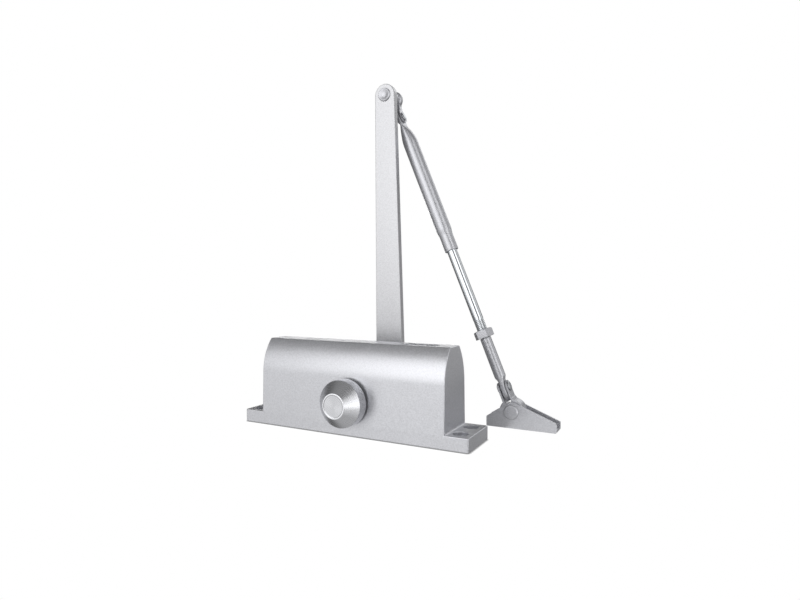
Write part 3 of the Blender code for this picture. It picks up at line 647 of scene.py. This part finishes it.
def housing():
    """Die-cast body with two feet, cylinder bore, cross bore, the screws' bores and fixing holes."""
    low, high = span("closer_body")
    block = 0.5 - span("end_plug")[0].x
    body = round_edges(prism(side_outline(), -block, block, "X", "housing"), BODY_EDGE, 4)
    plate = [(low.x, low.y), (high.x, low.y), (high.x, high.y), (low.x, high.y)]
    foot = prism(soften(plate, FOOT_CORNER, 6), 0.0, FOOT_THICKNESS, "Z")
    join(body, round_edges(foot, BODY_EDGE, 3))
    for side in (-1, 1):
        join(body, foot_fillet(side, block))
    axis_z = middle("end_plug").z
    cut(body, bore(BORE_RADIUS, block - BORE_END_WALL, -block, "X", (0.0, axis_z), flare=0.6, segments=72))
    for side in (-1, 1):
        cut(body, bore(CROSS_BORE, 0.0, side * high.y, "Y", (PINION.x, PINION.z), flare=0.4, segments=56))
    for label in VALVES:
        cut(body, valve_bore(f"{label}_valve", axis_z, high.z))
    for across in (-1, 1):
        for deep in (-1, 1):
            cut(body, foot_hole((across * HOLE_SPACING[0] / 2, deep * HOLE_SPACING[1] / 2)))
    present(body, "housing", Matrix(), "body", ["closer_body"], PAINT)


def plug_face():
    """Screwed plug with a dished face, a hexagon socket and a groove for its ring seal."""
    low, high = span("end_plug")
    axis = middle("end_plug")
    radius = (high.z - low.z) / 2
    dish, lip, sunk = PLUG_DISH
    groove_half, groove = PLUG_GROOVE[0] / 2, radius - PLUG_GROOVE[1]
    mid = (low.x + high.x) / 2
    profile = [(low.x + sunk, 0.0), (low.x + sunk, dish), (low.x, lip), (low.x, radius, 0.5),
               (mid - groove_half, radius), (mid - groove_half, groove), (mid + groove_half, groove),
               (mid + groove_half, radius), (high.x, radius), (high.x, 0.0)]
    plug = lathe(soften(profile, 0.2, 3, closed=False), "X", (0.0, axis.z), name="plug")
    flats, depth = PLUG_KEY
    key = [(y, z + axis.z) for y, z in hexagon(flats)]
    cut(plug, prism(key, low.x - KEY_OVERCUT, low.x + depth, "X"))
    present(plug, "plug_face", Matrix(), "body", ["end_plug"], ZINC_HEAD)


def bearing_nuts():
    """Rings that screw into the cross bore, with four holes each for a pin spanner."""
    for label, side in (("front", -1), ("back", 1)):
        node = f"bearing_nut_{label}"
        low, high = span(node)
        inner, outer = (high.y, low.y) if side < 0 else (low.y, high.y)
        radius = (high.x - low.x) / 2
        hole = (span(f"pinion_bush_{label}")[1].x - PINION.x) + GAP
        face = side * (span("closer_body")[1].y + GAP)
        spigot = CROSS_BORE - GAP
        profile = [(inner, hole), (inner, spigot), (face, spigot), (face, radius), (outer, radius, 0.8),
                   (outer, hole)]
        nut = lathe(soften(profile, 0.15, 4), "Y", (PINION.x, PINION.z), 72, "nut", closed=True)
        pitch, pin, depth = SPANNER_HOLE
        for turn in range(SPANNER_HOLES):
            a = TAU * (turn + 0.5) / SPANNER_HOLES
            spot = (PINION.x + pitch * math.cos(a), PINION.z + pitch * math.sin(a))
            cut(nut, bore(pin, outer - side * depth, outer, "Y", spot, flare=0.2, segments=20))
        present(nut, f"spanner_nut_{label}", Matrix(), "body", [node], STEEL)


def valves():
    """Regulating screws: a slotted head, a groove for the ring seal and a cone point."""
    groove_top, groove_end, groove = SCREW_GROOVE
    shoulder, point = SCREW_POINT
    for label in VALVES:
        node = f"{label}_valve"
        low, high = span(node)
        axis = middle(node)
        radius = (high.x - low.x) / 2
        top = high.z
        profile = [(top, 0.0), (top, radius - 0.1, 0.4), (top - groove_top, radius),
                   (top - groove_top, groove), (top - groove_end, groove), (top - groove_end, radius),
                   (top - shoulder, radius), (top - point, 1.6), (low.z, 0.6), (low.z, 0.0)]
        screw = lathe(soften(profile, 0.2, 4, closed=False), "Z", (axis.x, 0.0), 40, "screw")
        width, depth = SCREW_SLOT
        reach, half = radius + 1.0, width / 2
        slot = [(axis.x - reach, -half), (axis.x + reach, -half), (axis.x + reach, half),
                (axis.x - reach, half)]
        cut(screw, prism(slot, top - depth, top + 1.0, "Z"))
        present(screw, f"{label}_screw", Matrix(), f"{label}_screw", [node], ZINC_HEAD)


def cover_cap():
    """Turned cap over the unused pinion end: a sunk disc inside a ring lit by a painted highlight, a cone and
    a short skirt.
    """
    low, high = span("pinion_cap")
    radius = (high.x - low.x) / 2
    face, rim, back = low.y, low.y + CAP_RIM_DEPTH, high.y
    inner = span("bearing_nut_front")[1].x - PINION.x + GAP
    disc = CAP_FACE_RADIUS - CAP_RING_WIDTH
    profile = [(face + 0.3, 0.0), (face + 0.3, disc - 0.35, 0.3), (face, disc + 0.1, 0.3),
               (face + 0.02, CAP_FACE_RADIUS, 0.5), (rim, radius, 0.5), (back - 0.5, radius, 0.2),
               (back, radius - 0.5, 0.2), (back, inner, 0.2), (rim + 1.8, inner, 0.5),
               (face + 1.6, CAP_FACE_RADIUS - 1.2, 0.4), (face + 1.6, 0.0)]
    cap = lathe(soften(profile, 0.2, 4, closed=False), "Y", (PINION.x, PINION.z), 128, "cap")
    present(cap, "cover_cap", Matrix(), "body", ["pinion_cap"], SPUN, crease=50.0)


# ---- main arm ----
def arm_bar():
    """Flat bar between two round ends of different size, with a square hole and a rivet hole."""
    low, high = span("main_arm")
    slope = math.degrees(math.asin((ARM_PINION_RADIUS - ARM_ELBOW_RADIUS) / ARM_LENGTH))
    outline = arc(0.0, 0.0, ARM_PINION_RADIUS, 180.0 - slope, 360.0 + slope, steps=40)
    outline += arc(0.0, ARM_LENGTH, ARM_ELBOW_RADIUS, slope, 180.0 - slope, steps=36)
    bar = round_edges(prism(outline, low.y, high.y, "Y", "bar"), ARM_EDGE, 4)
    half = SQUARE_HALF + GAP
    square = [(half, half), (-half, half), (-half, -half), (half, -half)]
    cut(bar, prism(soften(square, 0.6, 4), low.y - OVERCUT, high.y + OVERCUT, "Y"))
    cut(bar, bore(RIVET_SHANK + GAP, low.y, high.y, "Y", (0.0, ARM_LENGTH), flare=0.2, segments=40,
                  both=True))
    present(bar, "arm_bar", ARM_PLACE, "arm", ["main_arm"], ARM_PAINT)


def arm_fixings():
    """Washer and socket-head screw that hold the arm on the pinion's square."""
    low, high = span("arm_washer")
    hole, edge = WASHER_RADII
    washer = [(low.y, hole), (low.y, edge), (high.y, edge), (high.y, hole)]
    ring = lathe(soften(washer, 0.25, 4), "Y", name="washer", closed=True)
    present(ring, "arm_washer_ring", ARM_PLACE, "arm", ["arm_washer"], ZINC_HEAD)
    low, high = span("arm_screw")
    tip, shank, head = BOLT_RADII
    seat = high.y - BOLT_HEAD
    profile = [(low.y, 0.0), (low.y, tip, 0.3), (seat, shank), (seat, head, 0.3), (high.y, head, 0.8),
               (high.y, 0.0)]
    bolt = lathe(soften(profile, 0.2, 5, closed=False), "Y", name="bolt")
    flats, floor = BOLT_KEY
    cut(bolt, prism(hexagon(flats), seat + floor, high.y + KEY_OVERCUT, "Y"))
    present(bolt, "arm_bolt", ARM_PLACE, "arm", ["arm_screw"], ZINC_HEAD)


def arm_rivet():
    """Head with a dished face, a plain shank and a peened tail."""
    low, high = span("elbow_rivet")
    radius = (high.x - low.x) / 2
    seat = span("main_arm")[0].y - GAP
    tail = high.y - 1.3
    profile = [(low.y + 0.85, 0.0), (low.y + 0.70, 1.8, 2.0), (low.y + 0.05, radius - 1.0, 0.4),
               (low.y, radius - 0.55, 0.25), (seat - 0.3, radius, 0.3), (seat, radius, 0.1),
               (seat, RIVET_SHANK), (tail, RIVET_SHANK), (tail, RIVET_TAIL, 0.2),
               (high.y - 0.2, RIVET_TAIL - 0.4, 0.5), (high.y, 0.0)]
    rivet = lathe(soften(profile, 0.1, 4, closed=False), "Y", (0.0, ARM_LENGTH), name="rivet")
    present(rivet, "arm_rivet", ARM_PLACE, "arm", ["elbow_rivet"], LINK_PAINT)


# ---- forearm; z is 0 at the elbow rivet and falls towards the shoe ----
def elbow_fork():
    """Round eye and spacer boss on the rivet, a short neck and a narrow fork for the forearm's flat end."""
    boss = span("elbow_link")[0].y - SHOE.y
    slot_half, half = ELBOW_FORK
    back, front = -2.0, 2.2
    eye = [(back, 0.0), (back, ELBOW_EYE, 2.0), (front, ELBOW_EYE, 0.8), (front, 0.0)]
    fork = lathe(soften(eye, 0.1, 4, closed=False), "Y", name="fork")
    join(fork, bore(ELBOW_BOSS, boss, 0.0, "Y", segments=56))
    neck = [(-half, -12.0), (half, -12.0), (3.1, -7.0, 3.0), (5.0, -3.0), (-5.0, -3.0), (-3.1, -7.0, 3.0)]
    join(fork, prism(soften(neck, 0.0, 5), -1.9, 2.1, "Y"))
    ears = [(2.1, -5.6), (-1.9, -5.6), (-2.2, -8.5, 3.0), (-4.2, -12.6, 3.0),
            *arc(0.0, -ELBOW_PIN, ELBOW_EAR, 180.0, 360.0, steps=20), (4.2, -12.6, 3.0), (2.4, -8.5, 3.0)]
    join(fork, prism(soften(ears, 0.0, 5), -half, half, "X"))
    slot_end, beyond = -10.6, -30.0
    slot = [(-slot_half, beyond), (slot_half, beyond), (slot_half, slot_end, 1.0),
            (-slot_half, slot_end, 1.0)]
    cut(fork, prism(soften(slot, 0.0, 5), -10.0, 10.0, "Y"))
    cut(fork, bore(RIVET_SHANK + GAP, boss, front, "Y", flare=0.2, both=True))
    cut(fork, pin_hole(-ELBOW_PIN))
    round_edges(fork, 0.6, 3)
    present(fork, "elbow_fork", ELBOW_PLACE, "elbow", ["elbow_link"], LINK_PAINT)


def pin_hole(height, reach=9.0, segments=48):
    """Drill for a cross pin, along X at this height."""
    return bore(PIN_RADIUS + GAP, -reach, reach, "X", (0.0, height), segments=segments)


def cross_pin(name, place, height, fork, body, node):
    """Riveted pin through a fork of this half width, with low domed heads."""
    head = fork + GAP
    half = [(head, PIN_RADIUS), (head, PIN_HEAD), (head + 0.35, PIN_HEAD, 0.2), (head + 0.9, 2.0, 1.2),
            (head + 0.7, 0.0)]
    profile = [(-d, r, *rest) for d, r, *rest in reversed(half)] + half
    pin = lathe(soften(profile, 0.05, 4, closed=False), "X", (0.0, height), 48, "pin")
    present(pin, name, place, body, [node], ZINC_HEAD)


def oval(z, across, deep, power, segments=56):
    """Ring of points: an ellipse at power 1, squarer below it."""
    points = []
    for i in range(segments):
        c, s = math.cos(TAU * i / segments), math.sin(TAU * i / segments)
        x = across * math.copysign(abs(c) ** power, c)
        y = deep * math.copysign(abs(s) ** power, s)
        points.append((x, y, z))
    return points


def lofted(keys, name, between=4):
    """Skins oval sections (z, half width in X, half width in Y, power), evenly from one key to the next."""
    rings = []
    for first, second in zip(keys, keys[1:]):
        for k in range(between):
            t = k / between
            rings.append(oval(*[a + (b - a) * t for a, b in zip(first, second)]))
    rings.append(oval(*keys[-1]))
    return skin(rings, name)


ROD_TOP = 35.0 - NECK_START


def forearm_barrel():
    """Tube pressed flat at the elbow and swaged down to a neck that grips the rod."""
    flat, full, neck, wide = ELBOW_TONGUE, TUBE_RADIUS, NECK_RADIUS, PRESSED_WIDTH
    keys = [(-11.3, flat - 0.35, 2.0, 0.55), (-11.6, flat, 2.6, 0.55), (-12.4, flat, 4.0, 0.55),
            (-14.0, flat, 5.2, 0.5), (-17.0, flat, 5.8, 0.5), (-23.0, flat, wide, 0.5),
            (-23.8, flat + 0.15, wide, 0.5)]
    pressed = flat + 0.2
    rows, steepness = 12, 2.3
    for k in range(1, rows + 1):
        rise = 1.0 - (1.0 - k / rows) ** steepness
        keys.append((-PRESSED_END - SWELL * k / rows, pressed + (full - flat - 0.2) * rise,
                     wide + (full - wide) * rise, 0.5 + 0.5 * min(1.0, 1.3 * rise)))
    keys += [(-NECK_START, full, full, 1.0)]
    rows = 8
    for k in range(1, rows + 1):
        radius = full + (neck - full) * (1 - math.cos(math.pi * k / rows)) / 2
        keys.append((-NECK_START - NECK_TAPER * k / rows, radius, radius, 1.0))
    for above, smaller in ((0.7, 0.0), (0.2, 0.15), (0.0, 0.5)):
        keys.append((-TUBE_END + above, neck - smaller, neck - smaller, 1.0))
    tube = lofted(keys, "tube", between=2)
    cut(tube, bore(ROD_RADIUS + GAP, ROD_TOP + 1.0, -TUBE_END, "Z", flare=0.25, segments=40))
    cut(tube, pin_hole(-ELBOW_PIN, 12.0, 32))
    present(tube, "forearm_barrel", ELBOW_PLACE, "forearm", ["forearm_tube"], LINK_PAINT)


def thread_radius(turn, z, top, bottom, outer, depth):
    """Radius of a 60-degree thread of one start that fades in and out."""
    phase = (z / THREAD_PITCH - turn) % 1.0
    wave = min(1.0, max(0.0, 1.15 - 2.3 * abs(phase - 0.5)))
    fade = min(1.0, max(0.0, (top - z) / 1.5), max(0.0, (z - bottom) / 0.5))
    return outer - depth * fade * (1.0 - wave)


def threaded_rod():
    """Drawn bar with a rolled thread at its foot, where the nut jams against the rod end."""
    foot = 0.2 - LOCK_NUT[1]
    thread_top = THREAD_RUN - LOCK_NUT[0]
    segments = 48
    heights = [ROD_TOP - 0.5, -NECK_START, -150.0, -170.0, thread_top + 0.3]
    rows = int((thread_top - foot) / THREAD_PITCH * 8)
    heights += [thread_top - (thread_top - foot) * i / rows for i in range(rows + 1)]
    rings = [[(0.0, 0.0, ROD_TOP)], oval(ROD_TOP, ROD_RADIUS - 0.5, ROD_RADIUS - 0.5, 1.0, segments)]
    for z in heights:
        ring = []
        for i in range(segments):
            radius = thread_radius(i / segments, z, thread_top, foot, ROD_RADIUS, THREAD_DEPTH)
            ring.append((radius * math.cos(TAU * i / segments), radius * math.sin(TAU * i / segments), z))
        rings.append(ring)
    end = foot - 19.0
    for z, radius in ((foot - 0.02, ROD_FOOT), (foot - 18.4, ROD_FOOT), (end, 2.0)):
        rings.append(oval(z, radius, radius, 1.0, segments))
    rings.append([(0.0, 0.0, end)])
    rod = skin(rings, "rod", capped=False)
    present(rod, "threaded_rod", ELBOW_PLACE, "forearm", ["forearm_rod"], ZINC, crease=55.0,
            weighted=False)


def jam_nut():
    """Hexagon nut, chamfered by its intersection with a turned blank."""
    low, high = -LOCK_NUT[1], -LOCK_NUT[0]
    nut = prism(soften(hexagon(NUT_FLATS, NUT_TURN), 0.5, 4), low, high, "Z", "nut")
    corner, face, chamfer = NUT_FLATS / math.sqrt(3.0), NUT_FLATS / 2 - 0.3, 0.75
    turned = [(low, 0.0), (low, face), (low + chamfer, corner), (high - chamfer, corner), (high, face),
              (high, 0.0)]
    combine(nut, lathe(turned, "Z", segments=72), "INTERSECT")
    cut(nut, bore(ROD_RADIUS + GAP, low, high, "Z", flare=0.35, both=True))
    round_edges(nut, 0.22, angle=25.0)
    present(nut, "jam_nut", ELBOW_PLACE, "nut", ["lock_nut"], LINK_PAINT)


def forearm_end():
    """Round bar that takes the rod's foot, slightly thinner in its upper part, ending in a flat tongue."""
    top = FOREARM_LENGTH - SHOE_PIN - ROD_END_TOP
    full, flat = ROD_END_RADIUS, SHOE_TONGUE
    thin = full - 0.05
    step = top - 9.5
    keys = [(top, full - 0.45, full - 0.45, 1.0), (top - 0.45, thin, thin, 1.0),
            (step + 0.4, thin, thin, 1.0), (step, full, full, 1.0), (8.8, full, full, 1.0),
            (7.9, full - 0.3, full, 0.95),
            (6.4, flat + 0.7, 4.2, 0.8), (5.4, flat + 0.1, 4.1, 0.65), (4.6, flat, 4.1, 0.55),
            (-4.0, flat, 4.0, 0.5), (-5.6, flat, 3.8, 0.5), (-7.2, flat - 0.05, 3.3, 0.5),
            (-8.6, flat - 0.25, 2.5, 0.55), (-9.6, flat - 0.5, 1.7, 0.6), (-10.2, flat - 1.0, 1.0, 0.6)]
    end = lofted(keys, "end")
    radius, depth = ROD_END_BORE
    cut(end, bore(radius, top - depth, top, "Z", flare=0.3, segments=40))
    cut(end, pin_hole(0.0, segments=32))
    present(end, "forearm_end", ROD_END_PLACE, "shoe_rod", ["rod_end"], LINK_PAINT)


# ---- shoe; the rivet is the origin ----
def shoe_fork():
    """Round lug between the shoe's plates, swept up into the fork that holds the forearm's tongue."""
    low, high = span("shoe_link")
    depth = (high.y - low.y) / 2
    slot_half, half = SHOE_FORK
    disc = [(-depth, 0.0), (-depth, SHOE_LUG, 0.5), (depth, SHOE_LUG, 0.5), (depth, 0.0)]
    fork = lathe(soften(disc, 0.1, 4, closed=False), "Y", segments=72, name="fork")
    ears = [*arc(0.0, SHOE_PIN, depth, 0.0, 180.0, steps=20), (-depth, 2.0), (depth, 2.0)]
    join(fork, prism(ears, -half, half, "X"))
    flare = [(-half, 0.0), (9.0, 0.0), (8.3, 2.4, 4.0), (5.2, 6.6, 9.0), (half, 11.5, 9.0), (-half, 11.5)]
    join(fork, prism(soften(flare, 0.0, 6), 0.1 - depth, depth - 0.1, "Y"))
    slot_end, beyond = 6.2, 40.0
    slot = [(-slot_half, slot_end, 1.6), (slot_half, slot_end, 1.6), (slot_half, beyond),
            (-slot_half, beyond)]
    cut(fork, prism(soften(slot, 0.0, 5), -10.0, 10.0, "Y"))
    cut(fork, bore(RIVET_SHANK + GAP, -depth, depth, "Y", flare=0.2, both=True))
    cut(fork, pin_hole(SHOE_PIN))
    round_edges(fork, 0.3, 3)
    present(fork, "shoe_fork", SHOE_LINK_PLACE, "shoe_fork", ["shoe_link"], LINK_PAINT)


def frame_shoe():
    """Front and rear plates on a base, with two straight slopes that meet above the rivet."""
    low, high = span("shoe_bracket")
    left, right, base = low.x - SHOE.x, high.x - SHOE.x, -SHOE.z
    half = (high.y - low.y) / 2
    (peak_x, peak), (left_end, right_end) = SHOE_APEX, SHOE_ENDS
    outline = [(left, base, 1.0), (right, base, 1.2), (right, right_end, 2.2), (peak_x, peak, 4.6),
               (left, left_end, 1.2)]
    shoe = prism(soften(outline, 0.0, 7), -half, half, "Y", "shoe")
    floor, beyond = base + SHOE_BASE, 30.0
    near, far = SHOE_ROOM
    room = [(-near, floor), (near, floor), (far, peak), (far, beyond), (-far, beyond), (-far, peak)]
    cut(shoe, prism(room, -60.0, 60.0, "X"))
    slope = (peak - right_end) / (peak_x - right)
    start, end = 2.0, right + 5
    above = [(start, peak + slope * 1.3 - SHOE_REAR_DROP), (end, right_end + slope * 5 - SHOE_REAR_DROP),
             (end, beyond), (start, beyond)]
    cut(shoe, prism(above, 0.0, 20.0, "Y"))
    round_edges(shoe, 0.65, 4)
    cut(shoe, bore(RIVET_SHANK + GAP, -20.0, 20.0, "Y"))
    narrow, wide = SHOE_HOLE
    for x in SHOE_HOLES:
        steps = [(base - OVERCUT, 0.0), (base - OVERCUT, narrow), (floor - 1.0, narrow), (floor, wide),
                 (floor + OVERCUT, wide), (floor + OVERCUT, 0.0)]
        cut(shoe, lathe(steps, "Z", (x - SHOE.x, 0.0), 40))
    present(shoe, "frame_shoe", SHOE_PLACE, "shoe", ["shoe_bracket"], LINK_PAINT)


def shoe_rivet_head():
    """Pivot of the shoe: a low flat head in front, a smaller one behind."""
    low, high = span("shoe_rivet")
    half = (high.y - low.y) / 2
    seat = half - 0.9
    radius = (high.x - low.x) / 2
    profile = [(-half, 0.0), (-half, radius - 0.9, 0.5), (-seat - 0.25, radius, 0.3), (-seat, radius, 0.1),
               (-seat, RIVET_SHANK), (seat, RIVET_SHANK), (seat, 5.0), (seat + 0.5, 5.0, 0.3),
               (half, 4.3, 0.4), (half, 0.0)]
    rivet = lathe(soften(profile, 0.1, 4, closed=False), "Y", name="rivet")
    present(rivet, "shoe_rivet_head", SHOE_PLACE, "shoe", ["shoe_rivet"], LINK_PAINT)


# ---- CAD nodes that keep their own shape: inner pieces, which the body hides ----
CARRIED = {
    "pinion_shaft": STEEL, "piston": IRON, "check_ball": STEEL, "closing_spring": SPRING,
    "check_valve_cap": BRASS, "pinion_bush_front": BRASS, "pinion_bush_back": BRASS,
    "pinion_seal_front": RUBBER, "pinion_seal_back": RUBBER, "end_plug_seal": RUBBER,
    "latch_valve_seal": RUBBER, "sweep_valve_seal": RUBBER, "backcheck_valve_seal": RUBBER,
}


def repaint_nodes():
    """Gives the inner pieces their own metals and rubber."""
    for node, look in CARRIED.items():
        mesh = frame["nodes"][node].data
        mesh.materials.clear()
        mesh.materials.append(look)


# ---- stage ----
CAMERA_PLACE = (0.21183, -0.33870, 0.10627)
CAMERA_YAW = 0.4840
CAMERA_PITCH = 0.0306
CAMERA_ROLL = -0.0032
LENS = 24.82
FILM = 36.0
SIGHT = (0.01, 50.0)


def camera():
    """Looks at the model from its front right, a little downwards."""
    data = bpy.data.cameras.new("camera")
    data.lens = LENS
    data.sensor_width = FILM
    data.clip_start, data.clip_end = SIGHT
    eye = bpy.data.objects.new("camera", data)
    bpy.context.scene.collection.objects.link(eye)
    level = math.cos(CAMERA_PITCH)
    ahead = Vector((-math.sin(CAMERA_YAW) * level, math.cos(CAMERA_YAW) * level, -math.sin(CAMERA_PITCH)))
    right = Vector((math.cos(CAMERA_YAW), math.sin(CAMERA_YAW), 0.0))
    up = right.cross(ahead)
    across = math.cos(CAMERA_ROLL) * right + math.sin(CAMERA_ROLL) * up
    upward = -math.sin(CAMERA_ROLL) * right + math.cos(CAMERA_ROLL) * up
    turn = Matrix((across, upward, -ahead)).transposed().to_4x4()
    eye.matrix_world = Matrix.Translation(CAMERA_PLACE) @ turn
    bpy.context.scene.camera = eye


def direction(azimuth, elevation):
    """Unit vector; azimuth 0 is towards -Y, the side the pinion cap is on, and 90 towards +X."""
    a, e = math.radians(azimuth), math.radians(elevation)
    return Vector((math.sin(a) * math.cos(e), -math.cos(a) * math.cos(e), math.sin(e)))


AIM = Vector((0.02, 0.02, 0.09))


def softbox(name, azimuth, elevation, distance, width, height, radiance):
    """Rectangular light at a direction and distance from the model's middle, facing it."""
    data = bpy.data.lights.new(name, "AREA")
    data.shape = "RECTANGLE"
    data.size = width
    data.size_y = height
    data.energy = radiance * math.pi * width * height
    light = bpy.data.objects.new(name, data)
    bpy.context.scene.collection.objects.link(light)
    away = direction(azimuth, elevation)
    light.location = AIM + away * distance
    light.rotation_mode = "QUATERNION"
    light.rotation_quaternion = away.to_track_quat("Z", "Y")
    light.visible_camera = False


def world(base, lobes):
    """Soft surroundings: a base level and wide round glows."""
    made = bpy.data.worlds.new("studio")
    made.use_nodes = True
    bpy.context.scene.world = made
    tree = made.node_tree
    place = tree.nodes.new("ShaderNodeTexCoord").outputs["Generated"]
    total = None
    for azimuth, elevation, inner, outer, level in lobes:
        dot = tree.nodes.new("ShaderNodeVectorMath")
        dot.operation = "DOT_PRODUCT"
        dot.inputs[1].default_value = direction(azimuth, elevation)
        tree.links.new(place, dot.inputs[0])
        glow = tree.nodes.new("ShaderNodeMapRange")
        glow.interpolation_type = "SMOOTHSTEP"
        glow.inputs["From Min"].default_value = math.cos(math.radians(outer))
        glow.inputs["From Max"].default_value = math.cos(math.radians(inner))
        glow.inputs["To Min"].default_value = 0.0
        glow.inputs["To Max"].default_value = level
        tree.links.new(dot.outputs["Value"], glow.inputs["Value"])
        if total is None:
            total = glow.outputs["Result"]
        else:
            added = tree.nodes.new("ShaderNodeMath")
            tree.links.new(total, added.inputs[0])
            tree.links.new(glow.outputs["Result"], added.inputs[1])
            total = added.outputs["Value"]
    last = tree.nodes.new("ShaderNodeMath")
    tree.links.new(total, last.inputs[0])
    last.inputs[1].default_value = base
    tree.links.new(last.outputs["Value"], tree.nodes["Background"].inputs["Color"])


def stage_piece(name, bm, material):
    """Piece of the surroundings, unseen by the model's own surfaces."""
    mesh = bpy.data.meshes.new(name)
    bm.to_mesh(mesh)
    bm.free()
    piece = bpy.data.objects.new(name, mesh)
    bpy.context.scene.collection.objects.link(piece)
    mesh.materials.append(material)
    piece.visible_glossy = False
    piece.visible_diffuse = False
    return piece


def chalky(name, albedo):
    """Matt grey with no shine, ready to glow white."""
    look = Look(name, (albedo,) * 3, roughness=0.9, metallic=0.0)
    look.shader.inputs["Specular IOR Level"].default_value = 0.0
    look.shader.inputs["Emission Color"].default_value = (1.0, 1.0, 1.0, 1.0)
    return look


def glowing(name, glow, albedo):
    """Surface that keeps a share of its brightness in the shade."""
    look = chalky(name, albedo)
    look.shader.inputs["Emission Strength"].default_value = glow
    return look.material


CONTACT_REACH = 0.002
CONTACT_GLOW = (0.15, 0.88)
CONTACT_OPENNESS = (0.5, 0.95)


def contact_shaded(name):
    """White floor that darkens only right beside what stands on it, clear from below."""
    look = chalky(name, albedo=0.4)
    # Painted contact shadow: ambient occlusion dims the floor's glow right beside the model.
    shade = look.node("ShaderNodeAmbientOcclusion", samples=16)
    shade.inputs["Distance"].default_value = CONTACT_REACH
    glow = look.ramp(shade.outputs["AO"], *CONTACT_GLOW, *CONTACT_OPENNESS)
    look.link(glow, look.shader.inputs["Emission Strength"])
    clear = look.node("ShaderNodeBsdfTransparent")
    side = look.node("ShaderNodeNewGeometry")
    mix = look.node("ShaderNodeMixShader")
    look.link(side.outputs["Backfacing"], mix.inputs["Fac"])
    look.link(look.shader.outputs["BSDF"], mix.inputs[1])
    look.link(clear.outputs["BSDF"], mix.inputs[2])
    look.link(mix.outputs["Shader"], look.tree.nodes["Material Output"].inputs["Surface"])
    return look.material


CONTACT_FLOOR = ((-94.5, -21.7), (94.5, 20.0), -0.2)
SHADED_FLOOR = ((-112.0, 16.0), (93.0, 80.0), -0.4)
BACKDROP_RADIUS = 7.0


def sheet(low, high, height):
    """Flat rectangle from one corner to the other, in mm, facing up."""
    bm = bmesh.new()
    corners = [(low[0], low[1]), (high[0], low[1]), (high[0], high[1]), (low[0], high[1])]
    bm.faces.new([bm.verts.new((x * MM, y * MM, height * MM)) for x, y in corners])
    return bm


def stage():
    """Contact shading under the body, painted into the floor's glow; a darker floor that only reflections
    see, as painted shade behind the body; and a white backdrop.
    """
    floor = stage_piece("floor", sheet(*CONTACT_FLOOR), contact_shaded("floor"))
    # Painted shade: a dark sheet where the floor lies in shade behind the body, seen only in reflections.
    shaded = stage_piece("shaded_floor", sheet(*SHADED_FLOOR), glowing("shaded_floor", glow=0.08, albedo=0.5))
    shaded.visible_glossy = True
    shaded.visible_camera = False
    bm = bmesh.new()
    bmesh.ops.create_uvsphere(bm, u_segments=64, v_segments=32, radius=BACKDROP_RADIUS)
    backdrop = stage_piece("backdrop", bm, glowing("backdrop", glow=1.0, albedo=0.0))
    for piece in (floor, shaded, backdrop):
        piece.visible_shadow = False
    bpy.context.scene.view_settings.view_transform = "Standard"


AMBIENT = 0.14
# Azimuth, elevation, inner and outer half angle, all in degrees, and level.
GLOWS = [
    (-24, 0, 12, 56, 0.73),
    (-30, 62, 12, 46, 0.13),
    (163, -5, 3, 18, 0.36),
    (160, -32, 4, 18, 0.28),
    (172, 32, 6, 24, 1.30),
    (-15, -68, 15, 55, 0.33),
    (60, -22, 8, 36, 0.50),
    (118, 15, 8, 34, 0.60),
]
# Name, azimuth and elevation in degrees, distance, width and height in metres, and radiance.
SOFTBOXES = [
    ("key", -8, 20, 1.4, 1.5, 1.1, 1.10),
    ("side", 66, 16, 1.2, 0.7, 1.6, 1.4),
    ("rim", -148, 4, 1.5, 0.7, 0.16, 4.0),
]


housing()
plug_face()
bearing_nuts()
valves()
cover_cap()
arm_bar()
arm_fixings()
arm_rivet()
elbow_fork()
cross_pin("elbow_cross_pin", ELBOW_PLACE, -ELBOW_PIN, ELBOW_FORK[1], "elbow", "elbow_pin")
forearm_barrel()
threaded_rod()
jam_nut()
forearm_end()
shoe_fork()
cross_pin("shoe_cross_pin", SHOE_LINK_PLACE, SHOE_PIN, SHOE_FORK[1], "shoe_fork", "shoe_link_pin")
frame_shoe()
shoe_rivet_head()
repaint_nodes()

camera()
stage()
world(AMBIENT, GLOWS)
for box in SOFTBOXES:
    softbox(*box)
